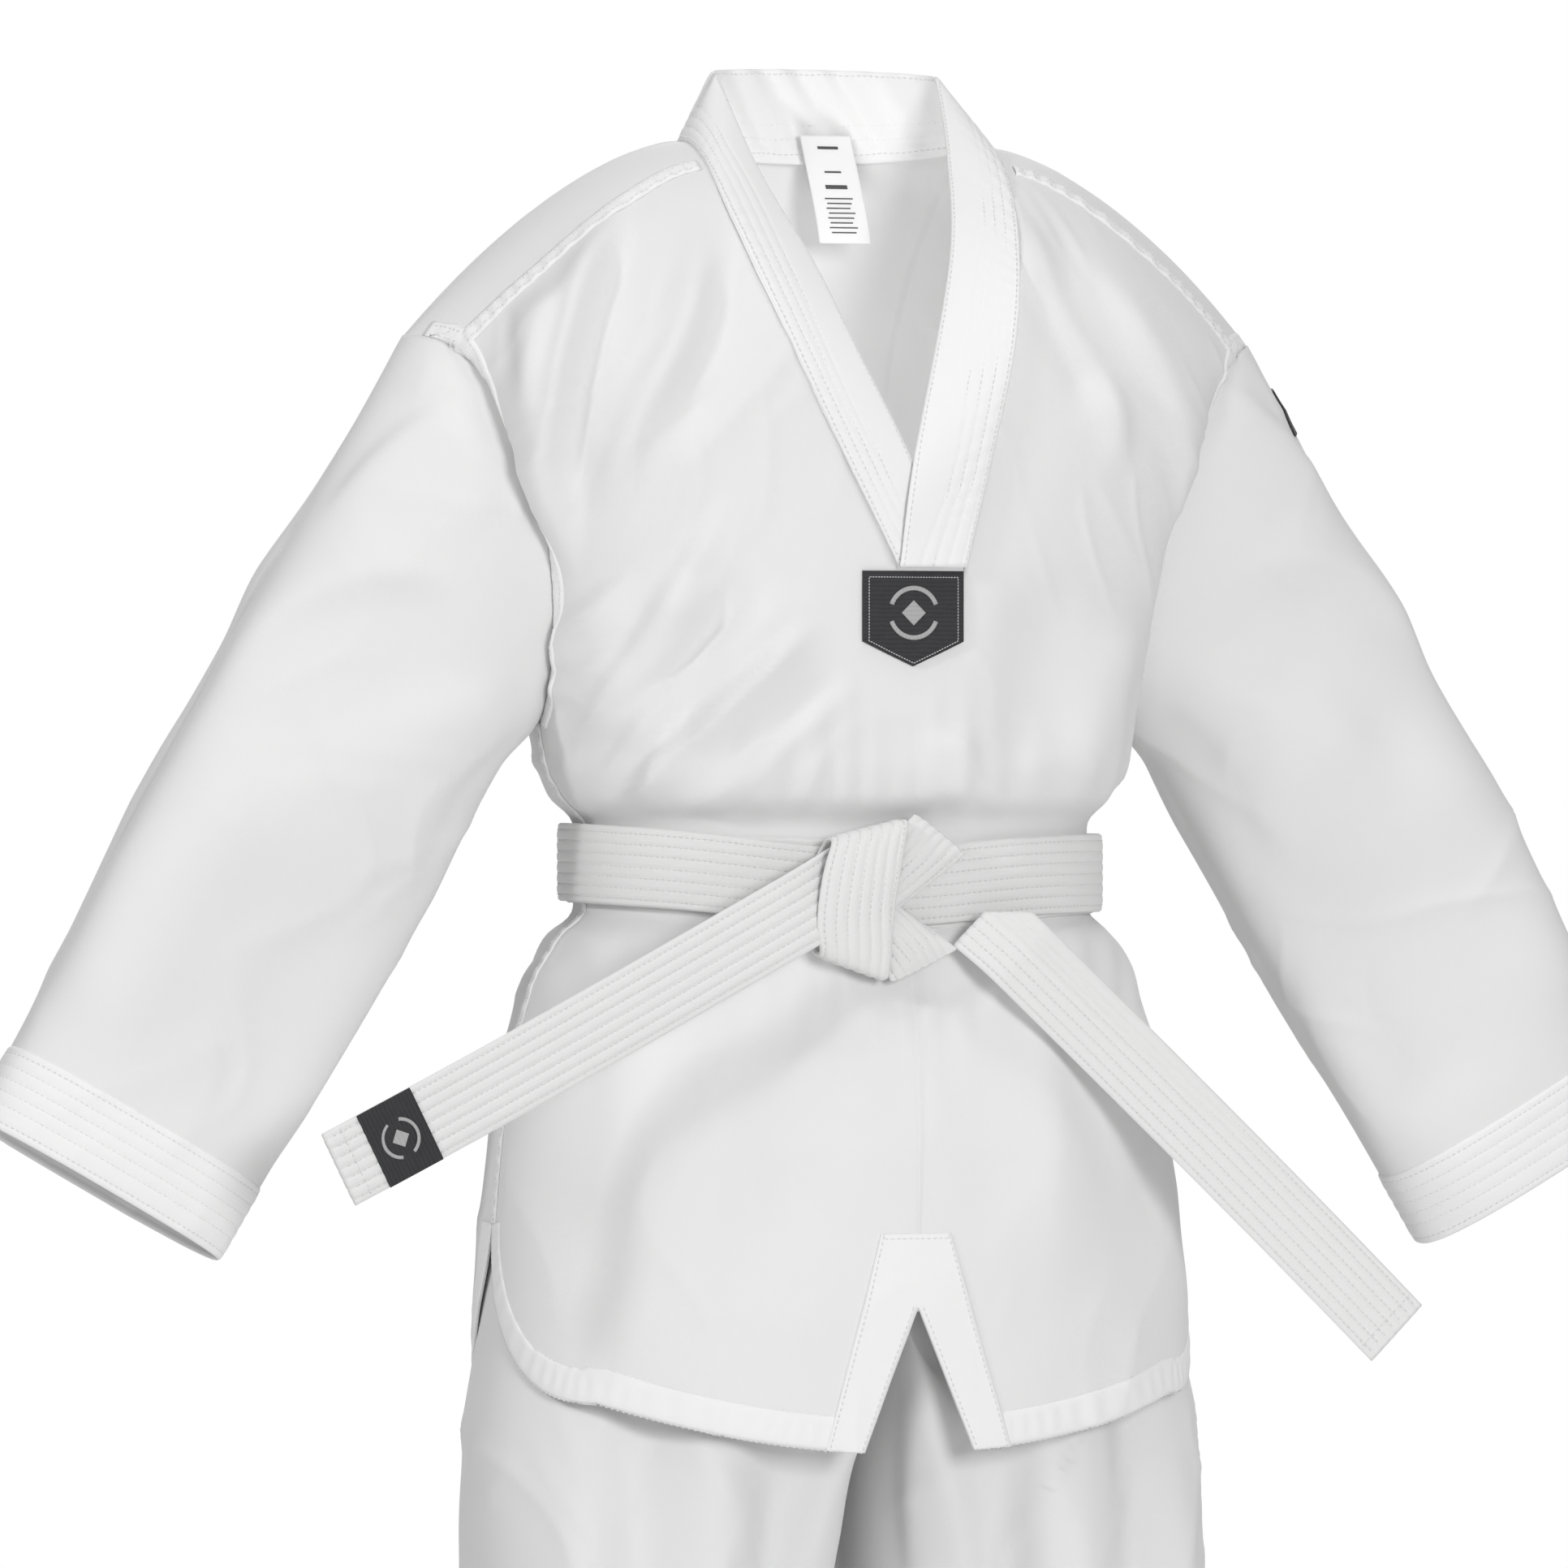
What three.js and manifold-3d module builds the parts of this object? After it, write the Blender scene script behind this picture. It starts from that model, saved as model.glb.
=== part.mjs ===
// Martial arts uniform: pullover jacket, knotted belt and trousers, worn shape without the wearer.
// Millimetres, +Z up, +X is the wearer's left, the front faces -Y.
// The origin is at the nape, in the middle of the body, where shoulders carry the jacket.
import * as THREE from 'three';
import { mergeVertices } from 'three/addons/utils/BufferGeometryUtils.js';
import Module from 'manifold-3d';

const wasm = await Module();
wasm.setup();

// ---------- driving dimensions ----------
const CLOTH = 2.0; // cloth wall, with the air caught in its weave
const SEAM_GAP = 0.4; // air between two pieces sewn edge to edge
const JOINT_GAP = 2.0; // air between two pieces where the cloth bends

const NECK_HALF = 88; // neck hole, half its width
const NECK_BACK = 50; // neck hole, from the middle to the nape
const NECK_SIDE_Z = -9; // where the collar meets the shoulder seam
const SHOULDER_HALF = 245; // middle to the outer end of the shoulder seam
const SHOULDER_DROP = 109; // fall of the shoulder seam from neck to sleeve
const SHOULDER_CURVE = 1.6; // above 1 keeps it level at the neck and steep at the sleeve
const ARMHOLE_HALF_DEPTH = 52;
const ARMHOLE_CURVE = 4; // how fast the armhole's edge runs in under the shoulder tip
const CHEST_FULL = 0.45; // share of the way from shoulder to armpit where the body is at its full depth
const CHEST_CURVE = 0.5;
const NECK_SLOPE = 0.3; // rise of the shoulder line from the neck hole's edge to the middle
const ARMPIT_Z = -330;
const JACKET_HEM_Z = -728; // lowest point of the jacket, beside the front slit
const HEM_CORNER_RISE = 27; // how much higher the hem is at the side vents
const HEM_RISE_X = 165; // where the hem has its full rise
const HEM_ROW = 12; // height of the last level row above the hem's highest point
const VENT_TOP_Z = JACKET_HEM_Z + 123;
const VENT_REACH = 96; // how far the vent edge runs forward at the hem
const VENT_BACK_REACH = 72;
const VENT_CURVE = 0.8;

const SLIT_X = 4; // middle of the front slit
const SLIT_TOP_Z = JACKET_HEM_Z + 80;
const SLIT_HALF = 32; // half the opening at the hem
const FACING_TOP_Z = JACKET_HEM_Z + 120;
const FACING_TOP_HALF = 20;
const FACING_WIDTH = 22;
const TRIM = 1.2; // thickness of patches and facings

const COLLAR_WALL = 2.6;
const COLLAR_TOP_Z = 33;
const COLLAR_TOP_HALF = NECK_HALF - 24;
const COLLAR_TOP_Y = 8; // where its top edge crosses from the side bands to the back band
const COLLAR_NAPE_LEAN = 4; // how far its top edge leans in behind the neck
const COLLAR_NAPE_Z = -5; // the seam behind the neck
const COLLAR_NAPE_RISE = 2;
const COLLAR_SIDE_FALL = 3; // fall of its top edge from COLLAR_TOP_Z to the sides
const COLLAR_EASE = 2.4; // the neck opening is cut this much wider than the collar
const COLLAR_END_Z = -246; // square end of the collar bands
const COLLAR_BACK_START = 5; // degrees round the neck where the back band takes over

const PATCH_X = 8;
const PATCH_HALF = 29;
const PATCH_HEIGHT = 52;
const PATCH_STRAIGHT = 0.79; // share of its height with straight sides
const LABEL_WIDTH = 30;
const LABEL_LENGTH = 60;
const LABEL_WALL = 0.8;
const LABEL_X = 12;
const LABEL_OFF = 6; // air between the collar and the label
const LABEL_DROP = 2; // its top edge below the origin
const EMBLEM_SIZE = 28;
const EMBLEM_DROP = 42; // its middle below the shoulder seam's end, along the sleeve
const EMBLEM_OFF = 1; // the flat badge stands this far off the round sleeve

const SLEEVE_TILT = 30; // degrees from straight down
const SLEEVE_LENGTH = 491; // along the outer edge, shoulder to cuff
const SLEEVE_EASE = 3.5; // the tube is this much less than half the armhole's width
const SLEEVE_HALF_CUFF = 78;
const SLEEVE_DEPTH_ARMPIT = 52; // half depths
const SLEEVE_DEPTH_CUFF = 34;
const CUFF_BAND = 45;
const CUFF_WALL = 3.0;
const SLEEVE_BEND_MARGIN = 8; // the bend's radius is this much more than half the sleeve
const SLEEVE_BEND_FROM_ARMPIT = 31; // the bend's centre lies this far above the armpit line

const BELT_WIDTH = 43;
const BELT_WALL = 3.8;
const BELT_Z = -410;
const BELT_FIT = 0.8; // air between jacket and belt
const BELT_TILT = 3; // how far the under wrap shows past the outer wrap
const BELT_ZONE = BELT_WIDTH / 2 + BELT_TILT + 3; // half the height of the pinched waist
const BELT_ZONE_EDGE = 8; // height of the row of gathers above and below it
const TAIL_LENGTH = 294;
const TAIL_LEAN = 4.8; // degrees that a belt end leans forward
const TAIL_Y = -132;
const TAIL_ROOM = 4.5; // between the loop and the round end of the right belt end
const BADGE_SIDE = BELT_WIDTH - 5;
const BADGE_FROM_END = 20;
const LOOP_WIDTH = BELT_WIDTH + 3;
const LOOP_HEIGHT = BELT_WIDTH + 37;
const LOOP_DEPTH = 24;
const LOOP_ROUND = 0.6;
const KNOT_X = -17; // middle of the vertical loop
const KNOT_DROP = 16; // middle of the loop below the middle of the belt
const CORE_HALF = 6; // half the thickness of the flat fold inside the loop
const CORE_PAST = 3; // how far it shows past the loop's right side
const CORE_REACH = 36; // how far it shows past the loop's left side
const FOLD_WALL = 10;
const FOLD_BACK = 8; // from the belt's front to the back of the folds
const FOLD_REACH = 40; // how far the folded corners show past the loop

const TROUSER_TOP_Z = -400;
const WAISTBAND = 40;
const WAISTBAND_WALL = 3.2;
const CROTCH_Z = -640;
const TROUSER_HEM_Z = -1340;
const LEG_PART = 3; // half the gap between the legs at the crotch
const LEG_BEND_Z = -700;
const LEG_BEND_RADIUS = 120;
const LEG_ROUND_Z = VENT_TOP_Z - 195; // from crotch to here a leg turns from a half loop to an oval
const LEG_HEM_BAND = 30;
const LEG_HEM_EXTRA = 0.5; // the hem is this much thicker than the cloth, on each side

// body sections: height, half width, depth to the front, depth to the back
const WAIST = [143, 100, 92];
const BELT_TOP = BELT_Z + BELT_ZONE;
const BELT_LOW = BELT_Z - BELT_ZONE;
const chestZ = (share) => ARMPIT_Z + share * (BELT_TOP - ARMPIT_Z);
const skirtZ = (share) => BELT_LOW + share * (JACKET_HEM_Z - BELT_LOW);
const JACKET_SECTIONS = [
  [ARMPIT_Z, 170, 120, 104],
  [chestZ(0.514), 164, 119, 102],
  [BELT_TOP + BELT_ZONE_EDGE, 155, 113, 99],
  [BELT_TOP, ...WAIST],
  [BELT_LOW, ...WAIST],
  [BELT_LOW - BELT_ZONE_EDGE, 157, 104, 98],
  [skirtZ(0.112), 172, 108, 104],
  [skirtZ(0.263), 185, 123, 113],
  [skirtZ(0.422), 191, 133, 118],
  [skirtZ(0.577), 195, 137, 122],
  [skirtZ(0.731), 199, 140, 126],
  [JACKET_HEM_Z, 200, 144, 130],
];

// values of a table of sections at height z, straight between its rows
function section(table, z) {
  const last = table.length - 1;
  if (z >= table[0][0]) return table[0].slice(1);
  if (z <= table[last][0]) return table[last].slice(1);
  const i = table.findIndex((row) => row[0] <= z);
  const [high, low] = [table[i - 1], table[i]];
  const t = (high[0] - z) / (high[0] - low[0]);
  return high.slice(1).map((value, k) => value + (low[k + 1] - value) * t);
}

// trousers under the skirt, this much narrower than it
const underSkirt = (z, room) => section(JACKET_SECTIONS, z)[0] - room;
const SEAT_SECTIONS = [
  [TROUSER_TOP_Z, WAIST[0] - 9, WAIST[1] - 8, WAIST[2] - 8],
  [TROUSER_TOP_Z - WAISTBAND, WAIST[0] - 8, WAIST[1] - 7, WAIST[2] - 7],
  [-480, underSkirt(-480, 16), 98, 97],
  [-560, underSkirt(-560, 13), 111, 105],
  [CROTCH_Z, underSkirt(CROTCH_Z, 9), 113, 108],
];
// leg sections: height, outer edge, inner edge, front, back; they widen below the side vents' tops
const LEG_SECTIONS = [
  [CROTCH_Z, underSkirt(CROTCH_Z, 9), LEG_PART, 113, 108],
  [VENT_TOP_Z - 60, underSkirt(VENT_TOP_Z - 60, 4), LEG_PART + 1, 112, 107],
  [VENT_TOP_Z - 95, 201, LEG_PART + 2, 109, 105],
  [VENT_TOP_Z - 155, 205, LEG_PART + 4, 105, 103],
  [VENT_TOP_Z - 255, 206, 12, 100, 100],
  [VENT_TOP_Z - 445, 202, 26, 90, 92],
  [TROUSER_HEM_Z, 198, 42, 76, 78],
];
const THIGH_ROWS = [CROTCH_Z, LEG_BEND_Z + 35, LEG_BEND_Z];
const LEG_ROWS = [LEG_BEND_Z - 160, LEG_BEND_Z - 350, TROUSER_HEM_Z + LEG_HEM_BAND + SEAM_GAP];

const ROUND = 0.8; // below 1 squares the round sections a little
const PATCH_Z = COLLAR_END_Z - 2;
const CUT_PAST = 20; // cutters run this far past the cloth
const CUT_DEPTH = 260; // and this deep, more than half the body's width

// ---------- small tools ----------
const rad = THREE.MathUtils.degToRad;
const lerp = THREE.MathUtils.lerp;
const steps = (n) => Array.from({ length: n + 1 }, (_, i) => i / n);
const soft = (t) => (1 - Math.cos(Math.PI * t)) / 2; // 0 to 1 with slow ends
const power = (t, p) => Math.sign(t) * Math.abs(t) ** p;
const vec = (x, y, z) => new THREE.Vector3(x, y, z);

// closed solid between two grids of points; wrap joins the last column to the first
function shell(outer, inner, wrap = false) {
  const rows = outer.length;
  const cols = outer[0].length;
  const points = [...outer.flat(), ...inner.flat()];
  const at = (r, c, side) => side * rows * cols + r * cols + (c % cols);
  const faces = [];
  const quad = (a, b, c, d) => faces.push(a, b, c, a, c, d);
  const spans = wrap ? cols : cols - 1;
  for (let r = 0; r < rows - 1; r++) {
    for (let c = 0; c < spans; c++) {
      quad(at(r, c, 0), at(r + 1, c, 0), at(r + 1, c + 1, 0), at(r, c + 1, 0));
      quad(at(r, c, 1), at(r, c + 1, 1), at(r + 1, c + 1, 1), at(r + 1, c, 1));
    }
  }
  for (let c = 0; c < spans; c++) {
    quad(at(0, c, 0), at(0, c + 1, 0), at(0, c + 1, 1), at(0, c, 1));
    quad(at(rows - 1, c, 0), at(rows - 1, c, 1), at(rows - 1, c + 1, 1), at(rows - 1, c + 1, 0));
  }
  for (let r = 0; r < rows - 1 && !wrap; r++) {
    quad(at(r, 0, 0), at(r, 0, 1), at(r + 1, 0, 1), at(r + 1, 0, 0));
    quad(at(r, cols - 1, 0), at(r + 1, cols - 1, 0), at(r + 1, cols - 1, 1), at(r, cols - 1, 1));
  }
  const geometry = new THREE.BufferGeometry().setFromPoints(points);
  geometry.setIndex(volume(points, faces) < 0 ? faces.reverse() : faces);
  return geometry;
}

function volume(points, faces) {
  let sum = 0;
  for (let i = 0; i < faces.length; i += 3) {
    const [a, b, c] = [points[faces[i]], points[faces[i + 1]], points[faces[i + 2]]];
    sum += a.dot(b.clone().cross(c)) / 6;
  }
  return sum;
}

// the same grid moved inwards by a wall, square to the surface; side is +1 or -1
function inset(grid, wall, side) {
  const pick = (r, c) => grid[Math.min(Math.max(r, 0), grid.length - 1)][
    Math.min(Math.max(c, 0), grid[0].length - 1)];
  return grid.map((row, r) => row.map((point, c) => {
    const down = pick(r + 1, c).clone().sub(pick(r - 1, c));
    const along = pick(r, c + 1).clone().sub(pick(r, c - 1));
    return point.clone().addScaledVector(down.cross(along).normalize(), side * wall);
  }));
}

const sheet = (grid, wall, side) => shell(grid, inset(grid, wall, side));

function toSolid(geometry) {
  const bare = geometry.clone();
  bare.deleteAttribute('normal');
  bare.deleteAttribute('uv');
  const merged = mergeVertices(bare, 1e-4);
  return new wasm.Manifold(new wasm.Mesh({
    numProp: 3,
    vertProperties: new Float32Array(merged.attributes.position.array),
    triVerts: new Uint32Array(merged.index.array),
  }));
}

function toGeometry(solid) {
  const mesh = solid.getMesh();
  const geometry = new THREE.BufferGeometry();
  geometry.setAttribute('position', new THREE.BufferAttribute(mesh.vertProperties, 3));
  geometry.setIndex(new THREE.BufferAttribute(mesh.triVerts, 1));
  return geometry;
}

// a straight prism of an outline given as [x, z] points, running along Y
function prismY(outline, y0, y1) {
  const shape = new THREE.Shape(outline.map(([x, z]) => new THREE.Vector2(x, z)));
  const geometry = new THREE.ExtrudeGeometry(shape, { depth: y1 - y0, bevelEnabled: false });
  return geometry.rotateX(Math.PI / 2).translate(0, y1, 0);
}

// a straight prism of an outline given as [y, z] points, running along X
function prismX(outline, x0, x1) {
  const shape = new THREE.Shape(outline.map(([y, z]) => new THREE.Vector2(y, z)));
  const geometry = new THREE.ExtrudeGeometry(shape, { depth: x1 - x0, bevelEnabled: false });
  return geometry.rotateX(Math.PI / 2).rotateZ(Math.PI / 2).translate(x0, 0, 0);
}

// ---------- jacket body ----------
// top line of the shoulders: flat at the neck, then falling to the sleeve
function ridge(x) {
  const out = Math.abs(x);
  if (out < NECK_HALF) return NECK_SIDE_Z + NECK_SLOPE * (NECK_HALF - out);
  const t = (out - NECK_HALF) / (SHOULDER_HALF - NECK_HALF);
  return NECK_SIDE_Z - SHOULDER_DROP * t ** SHOULDER_CURVE;
}

const armholeHalf = (v) => lerp(JACKET_SECTIONS[0][1], SHOULDER_HALF, (1 - v) ** ARMHOLE_CURVE);
const armholeDepth = (v) => ARMHOLE_HALF_DEPTH * Math.sqrt(Math.max(0, 1 - (2 * v - 1) ** 2));
const chestShare = (v) => Math.sin((Math.min(1, v / CHEST_FULL) * Math.PI) / 2) ** CHEST_CURVE;

// point of the upper body; v runs from the ridge (0) to the armpit level (1)
function upperPoint(face, turn, v) {
  const x = power(-Math.cos(turn), ROUND) * armholeHalf(v);
  const full = JACKET_SECTIONS[0][face < 0 ? 2 : 3] * chestShare(v);
  const edge = armholeDepth(v);
  const depth = edge + Math.max(0, full - edge) * Math.sin(turn) ** ROUND;
  return vec(x, face * Math.max(SEAM_GAP / 2, depth), lerp(ridge(x), ARMPIT_Z, v));
}

const hemZ = (x) => JACKET_HEM_Z + HEM_CORNER_RISE * Math.min(1, Math.abs(x) / HEM_RISE_X) ** 2;

// point of the body below the armpits
function lowerPoint(face, turn, z, lowest = false) {
  const [half, front, back] = section(JACKET_SECTIONS, z);
  const x = power(-Math.cos(turn), ROUND) * half;
  const y = face * Math.max(SEAM_GAP / 2, (face < 0 ? front : back) * Math.sin(turn) ** ROUND);
  return vec(x, y, lowest ? hemZ(x) : z);
}

// depth of the front at a place on the chest or skirt
function frontDepth(x, z) {
  const top = ridge(x);
  const v = Math.min(1, Math.max(0, (top - z) / (top - ARMPIT_Z)));
  if (z <= ARMPIT_Z) {
    const [half, front] = section(JACKET_SECTIONS, z);
    return front * (1 - Math.min(1, Math.abs(x) / half) ** (2 / ROUND)) ** (ROUND / 2);
  }
  const across = Math.min(1, Math.abs(x) / armholeHalf(v));
  const full = JACKET_SECTIONS[0][2] * chestShare(v);
  const edge = armholeDepth(v);
  return edge + Math.max(0, full - edge) * (1 - across ** (2 / ROUND)) ** (ROUND / 2);
}

const UPPER_ROWS = 8;
const BODY_COLS = 20;
const HEM_ROW_Z = JACKET_HEM_Z + HEM_CORNER_RISE + HEM_ROW;

function panelGrid(face) {
  const turns = steps(BODY_COLS).map((t) => Math.PI * t);
  const upper = steps(UPPER_ROWS).map(soft);
  const heights = JACKET_SECTIONS.slice(1, -1).map((row) => row[0]).filter((z) => z > HEM_ROW_Z);
  return [
    ...upper.map((v) => turns.map((turn) => upperPoint(face, turn, v))),
    ...[...heights, HEM_ROW_Z].map((z) => turns.map((turn) => lowerPoint(face, turn, z))),
    turns.map((turn) => lowerPoint(face, turn, JACKET_HEM_Z, true)),
  ];
}

// inner side of a panel, kept on its own side of the side seams and shoulder seams
function panelInner(grid, face) {
  const inner = inset(grid, CLOTH, face);
  inner.flat().forEach((p) => {
    p.y = face * Math.max(SEAM_GAP / 2, face * p.y);
  });
  return inner;
}

const panels = { front: { face: -1 }, back: { face: 1 } };
for (const panel of Object.values(panels)) {
  panel.outer = panelGrid(panel.face);
  panel.inner = panelInner(panel.outer, panel.face);
}

// ---------- collar lines ----------
// the seam of each collar band on the chest, as [x, z] from shoulder to square end
const LEFT_SEAM = [
  [NECK_HALF, NECK_SIDE_Z], [0.898 * NECK_HALF, -64], [0.75 * NECK_HALF, -132], [38, COLLAR_END_Z],
];
const RIGHT_SEAM = [
  [-NECK_HALF, NECK_SIDE_Z], [-0.932 * NECK_HALF, -60], [-0.648 * NECK_HALF, -132], [0, COLLAR_END_Z],
];
// the free edges, as [x, y, z]
const COLLAR_SIDE_Z = COLLAR_TOP_Z - COLLAR_SIDE_FALL;
const LEFT_FREE = [
  [COLLAR_TOP_HALF, COLLAR_TOP_Y, COLLAR_SIDE_Z], [0.636 * NECK_HALF, -34, -15],
  [0.455 * NECK_HALF, -84, -78], [8, -118, -187], [-1, -120, COLLAR_END_Z],
];
const RIGHT_FREE = [
  [-COLLAR_TOP_HALF, COLLAR_TOP_Y, COLLAR_SIDE_Z], [-0.636 * NECK_HALF, -44, -26],
  [-0.42 * NECK_HALF, -86, -80], [-0.227 * NECK_HALF, -108, -127], [8, -117, -187], [30, -119, COLLAR_END_Z],
];
const COLLAR_STEPS = 14;

function seamLine(points, count) {
  const curve = new THREE.CatmullRomCurve3(points.map(([x, z]) => vec(x, 0, z)));
  return steps(count).map((t) => {
    const p = curve.getPoint(t);
    return vec(p.x, -frontDepth(p.x, p.z), p.z);
  });
}

function collarBand(seam, free, lift) {
  const sewn = seamLine(seam, COLLAR_STEPS);
  const curve = new THREE.CatmullRomCurve3(free.map((p) => vec(...p)));
  const edge = steps(COLLAR_STEPS).map((t) => curve.getPoint(t));
  return sewn.map((start, i) => steps(2).map((t) => {
    const p = start.clone().lerp(edge[i], t);
    return vec(p.x, p.y - lift * soft(i / COLLAR_STEPS), Math.max(p.z, COLLAR_END_Z));
  }));
}

// neck opening of the front panel, between the two collar seams
function neckCutFront() {
  const left = seamLine(LEFT_SEAM, COLLAR_STEPS).map((p) => [p.x + COLLAR_EASE, p.z]);
  const right = seamLine(RIGHT_SEAM, COLLAR_STEPS).map((p) => [p.x - COLLAR_EASE, p.z]);
  left[left.length - 1][1] -= SEAM_GAP;
  right[right.length - 1][1] -= SEAM_GAP;
  const above = COLLAR_TOP_Z + CUT_PAST;
  const side = NECK_HALF + COLLAR_EASE;
  return prismY([[-side, above], ...right, ...left.reverse(), [side, above]], -CUT_DEPTH, 0);
}

function neckCutBack() {
  const ring = steps(24).map((t) => {
    const a = Math.PI * t;
    return new THREE.Vector2(NECK_HALF * Math.cos(a), NECK_BACK * Math.sin(a));
  });
  const low = NECK_SIDE_Z - SHOULDER_DROP / 2;
  const depth = COLLAR_TOP_Z + CUT_PAST - low;
  return new THREE.ExtrudeGeometry(new THREE.Shape(ring), { depth, bevelEnabled: false }).translate(0, 0, low);
}

// side vents: the lower corners of a panel curve away from the side seam
function ventCut(face, reach) {
  const corner = JACKET_HEM_Z + HEM_CORNER_RISE;
  const rows = steps(8).map((t) => {
    const a = (t * Math.PI) / 2;
    const y = reach * (1 - Math.cos(a)) ** VENT_CURVE;
    return [face * y, lerp(VENT_TOP_Z, corner, Math.sin(a))];
  });
  const low = JACKET_HEM_Z - CUT_PAST;
  const past = -face * CUT_PAST;
  const outline = [[past, VENT_TOP_Z], ...rows, [face * reach, low], [past, low]];
  return prismX(outline, -CUT_DEPTH, CUT_DEPTH);
}

function slitCut() {
  const low = JACKET_HEM_Z - CUT_PAST;
  const half = (SLIT_HALF * (SLIT_TOP_Z - low)) / (SLIT_TOP_Z - JACKET_HEM_Z);
  return prismY([[SLIT_X, SLIT_TOP_Z], [SLIT_X - half, low], [SLIT_X + half, low]], -CUT_DEPTH, 0);
}

function frontPanel() {
  const body = toSolid(shell(panels.front.outer, panels.front.inner));
  const cuts = [neckCutFront(), ventCut(-1, VENT_REACH), slitCut()];
  return toGeometry(cuts.reduce((solid, cut) => solid.subtract(toSolid(cut)), body));
}

function backPanel() {
  const body = toSolid(shell(panels.back.outer, panels.back.inner));
  const cuts = [neckCutBack(), ventCut(1, VENT_BACK_REACH)];
  return toGeometry(cuts.reduce((solid, cut) => solid.subtract(toSolid(cut)), body));
}

// the standing band behind the neck, from one shoulder seam round the nape to the other
function backCollar() {
  const start = rad(COLLAR_BACK_START);
  const [half, back] = [NECK_HALF - SEAM_GAP, NECK_BACK - SEAM_GAP];
  return steps(COLLAR_STEPS).map((t) => {
    const a = lerp(start, Math.PI - start, t);
    const [c, s] = [Math.cos(a), Math.sin(a)];
    const low = vec(half * c, back * s, lerp(NECK_SIDE_Z, COLLAR_NAPE_Z, s));
    const y = lerp(COLLAR_TOP_Y, NECK_BACK - COLLAR_NAPE_LEAN, s);
    const high = vec(COLLAR_TOP_HALF * c, y, lerp(COLLAR_SIDE_Z, COLLAR_TOP_Z + COLLAR_NAPE_RISE, s));
    return steps(2).map((k) => low.clone().lerp(high, k));
  });
}

// four-sided strip round the front slit, laid on the cloth
function slitFacing() {
  const low = JACKET_HEM_Z - TRIM;
  const half = SLIT_HALF + FACING_WIDTH;
  const heights = steps(4).map((t) => lerp(FACING_TOP_Z, low, t));
  const xs = steps(6).map((t) => SLIT_X + lerp(-half, half, t));
  const skin = (lift) => heights.map((z) => xs.map((x) => vec(x, -frontDepth(x, z) - lift, z)));
  const plate = toSolid(shell(skin(SEAM_GAP + TRIM), skin(SEAM_GAP)));
  const [top, foot] = [FACING_TOP_Z - 1, JACKET_HEM_Z + 1];
  const outline = prismY([
    [SLIT_X - FACING_TOP_HALF, top], [SLIT_X - half, foot],
    [SLIT_X + half, foot], [SLIT_X + FACING_TOP_HALF, top],
  ], -CUT_DEPTH, 0);
  return toGeometry(plate.intersect(toSolid(outline)).subtract(toSolid(slitCut())));
}

// shield patch under the collar end, a flat plate
function chestPatch() {
  const low = PATCH_Z - PATCH_HEIGHT;
  const bend = lerp(PATCH_Z, low, PATCH_STRAIGHT);
  const [left, right] = [PATCH_X - PATCH_HALF, PATCH_X + PATCH_HALF];
  const y = -frontDepth(0, PATCH_Z - PATCH_HEIGHT / 2) - SEAM_GAP;
  return prismY([[left, PATCH_Z], [left, bend], [PATCH_X, low], [right, bend], [right, PATCH_Z]], y - TRIM, y);
}

// woven label that hangs inside the nape from its top edge
function neckLabel() {
  const y = NECK_BACK - COLLAR_WALL - LABEL_OFF;
  const geometry = new THREE.BoxGeometry(LABEL_WIDTH, LABEL_WALL, LABEL_LENGTH);
  return geometry.translate(LABEL_X, y, -LABEL_LENGTH / 2 - LABEL_DROP);
}

// ---------- sleeves ----------
const sleeveDown = (side) => vec(side * Math.sin(rad(SLEEVE_TILT)), 0, -Math.cos(rad(SLEEVE_TILT)));
const sleeveOut = (side) => vec(side * Math.cos(rad(SLEEVE_TILT)), 0, Math.sin(rad(SLEEVE_TILT)));
const SHOULDER_TIP = vec(SHOULDER_HALF, 0, NECK_SIDE_Z - SHOULDER_DROP);
const TIP_ALONG = SHOULDER_TIP.dot(sleeveDown(1));
const TIP_OUT = SHOULDER_TIP.dot(sleeveOut(1));
const ARMPIT = vec(JACKET_SECTIONS[0][1], 0, ARMPIT_Z);
const SLEEVE_HALF_ARMPIT = (TIP_OUT - ARMPIT.dot(sleeveOut(1))) / 2 - SLEEVE_EASE;
const SLEEVE_BEND_RADIUS = SLEEVE_HALF_ARMPIT + SLEEVE_BEND_MARGIN;
const AXIS_OUT = TIP_OUT - SLEEVE_HALF_ARMPIT;
const CUFF_ALONG = TIP_ALONG + SLEEVE_LENGTH;
const ARMPIT_ALONG = ARMPIT.dot(sleeveDown(1));
const BEND_ALONG = ARMPIT_ALONG - SLEEVE_BEND_FROM_ARMPIT;

// point of the sleeve tube; turn 0 is its outer edge, a quarter turn is its front
function sleevePoint(side, along, turn, wall) {
  const t = Math.min(1, Math.max(0, (along - ARMPIT_ALONG) / (CUFF_ALONG - ARMPIT_ALONG)));
  const half = lerp(SLEEVE_HALF_ARMPIT, SLEEVE_HALF_CUFF, t) - wall;
  const depth = lerp(SLEEVE_DEPTH_ARMPIT, SLEEVE_DEPTH_CUFF, t) - wall;
  const out = AXIS_OUT + half * power(Math.cos(turn), ROUND);
  const p = sleeveDown(side).multiplyScalar(along).addScaledVector(sleeveOut(side), out);
  p.y = -depth * power(Math.sin(turn), ROUND);
  return p;
}

// the same, on the round bend surface about the shoulder axis
function bendPoint(side, radius, turn, wall) {
  const offset = (SLEEVE_HALF_ARMPIT - wall) * power(Math.cos(turn), ROUND);
  return sleevePoint(side, BEND_ALONG + Math.sqrt(radius ** 2 - offset ** 2), turn, wall);
}

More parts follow.
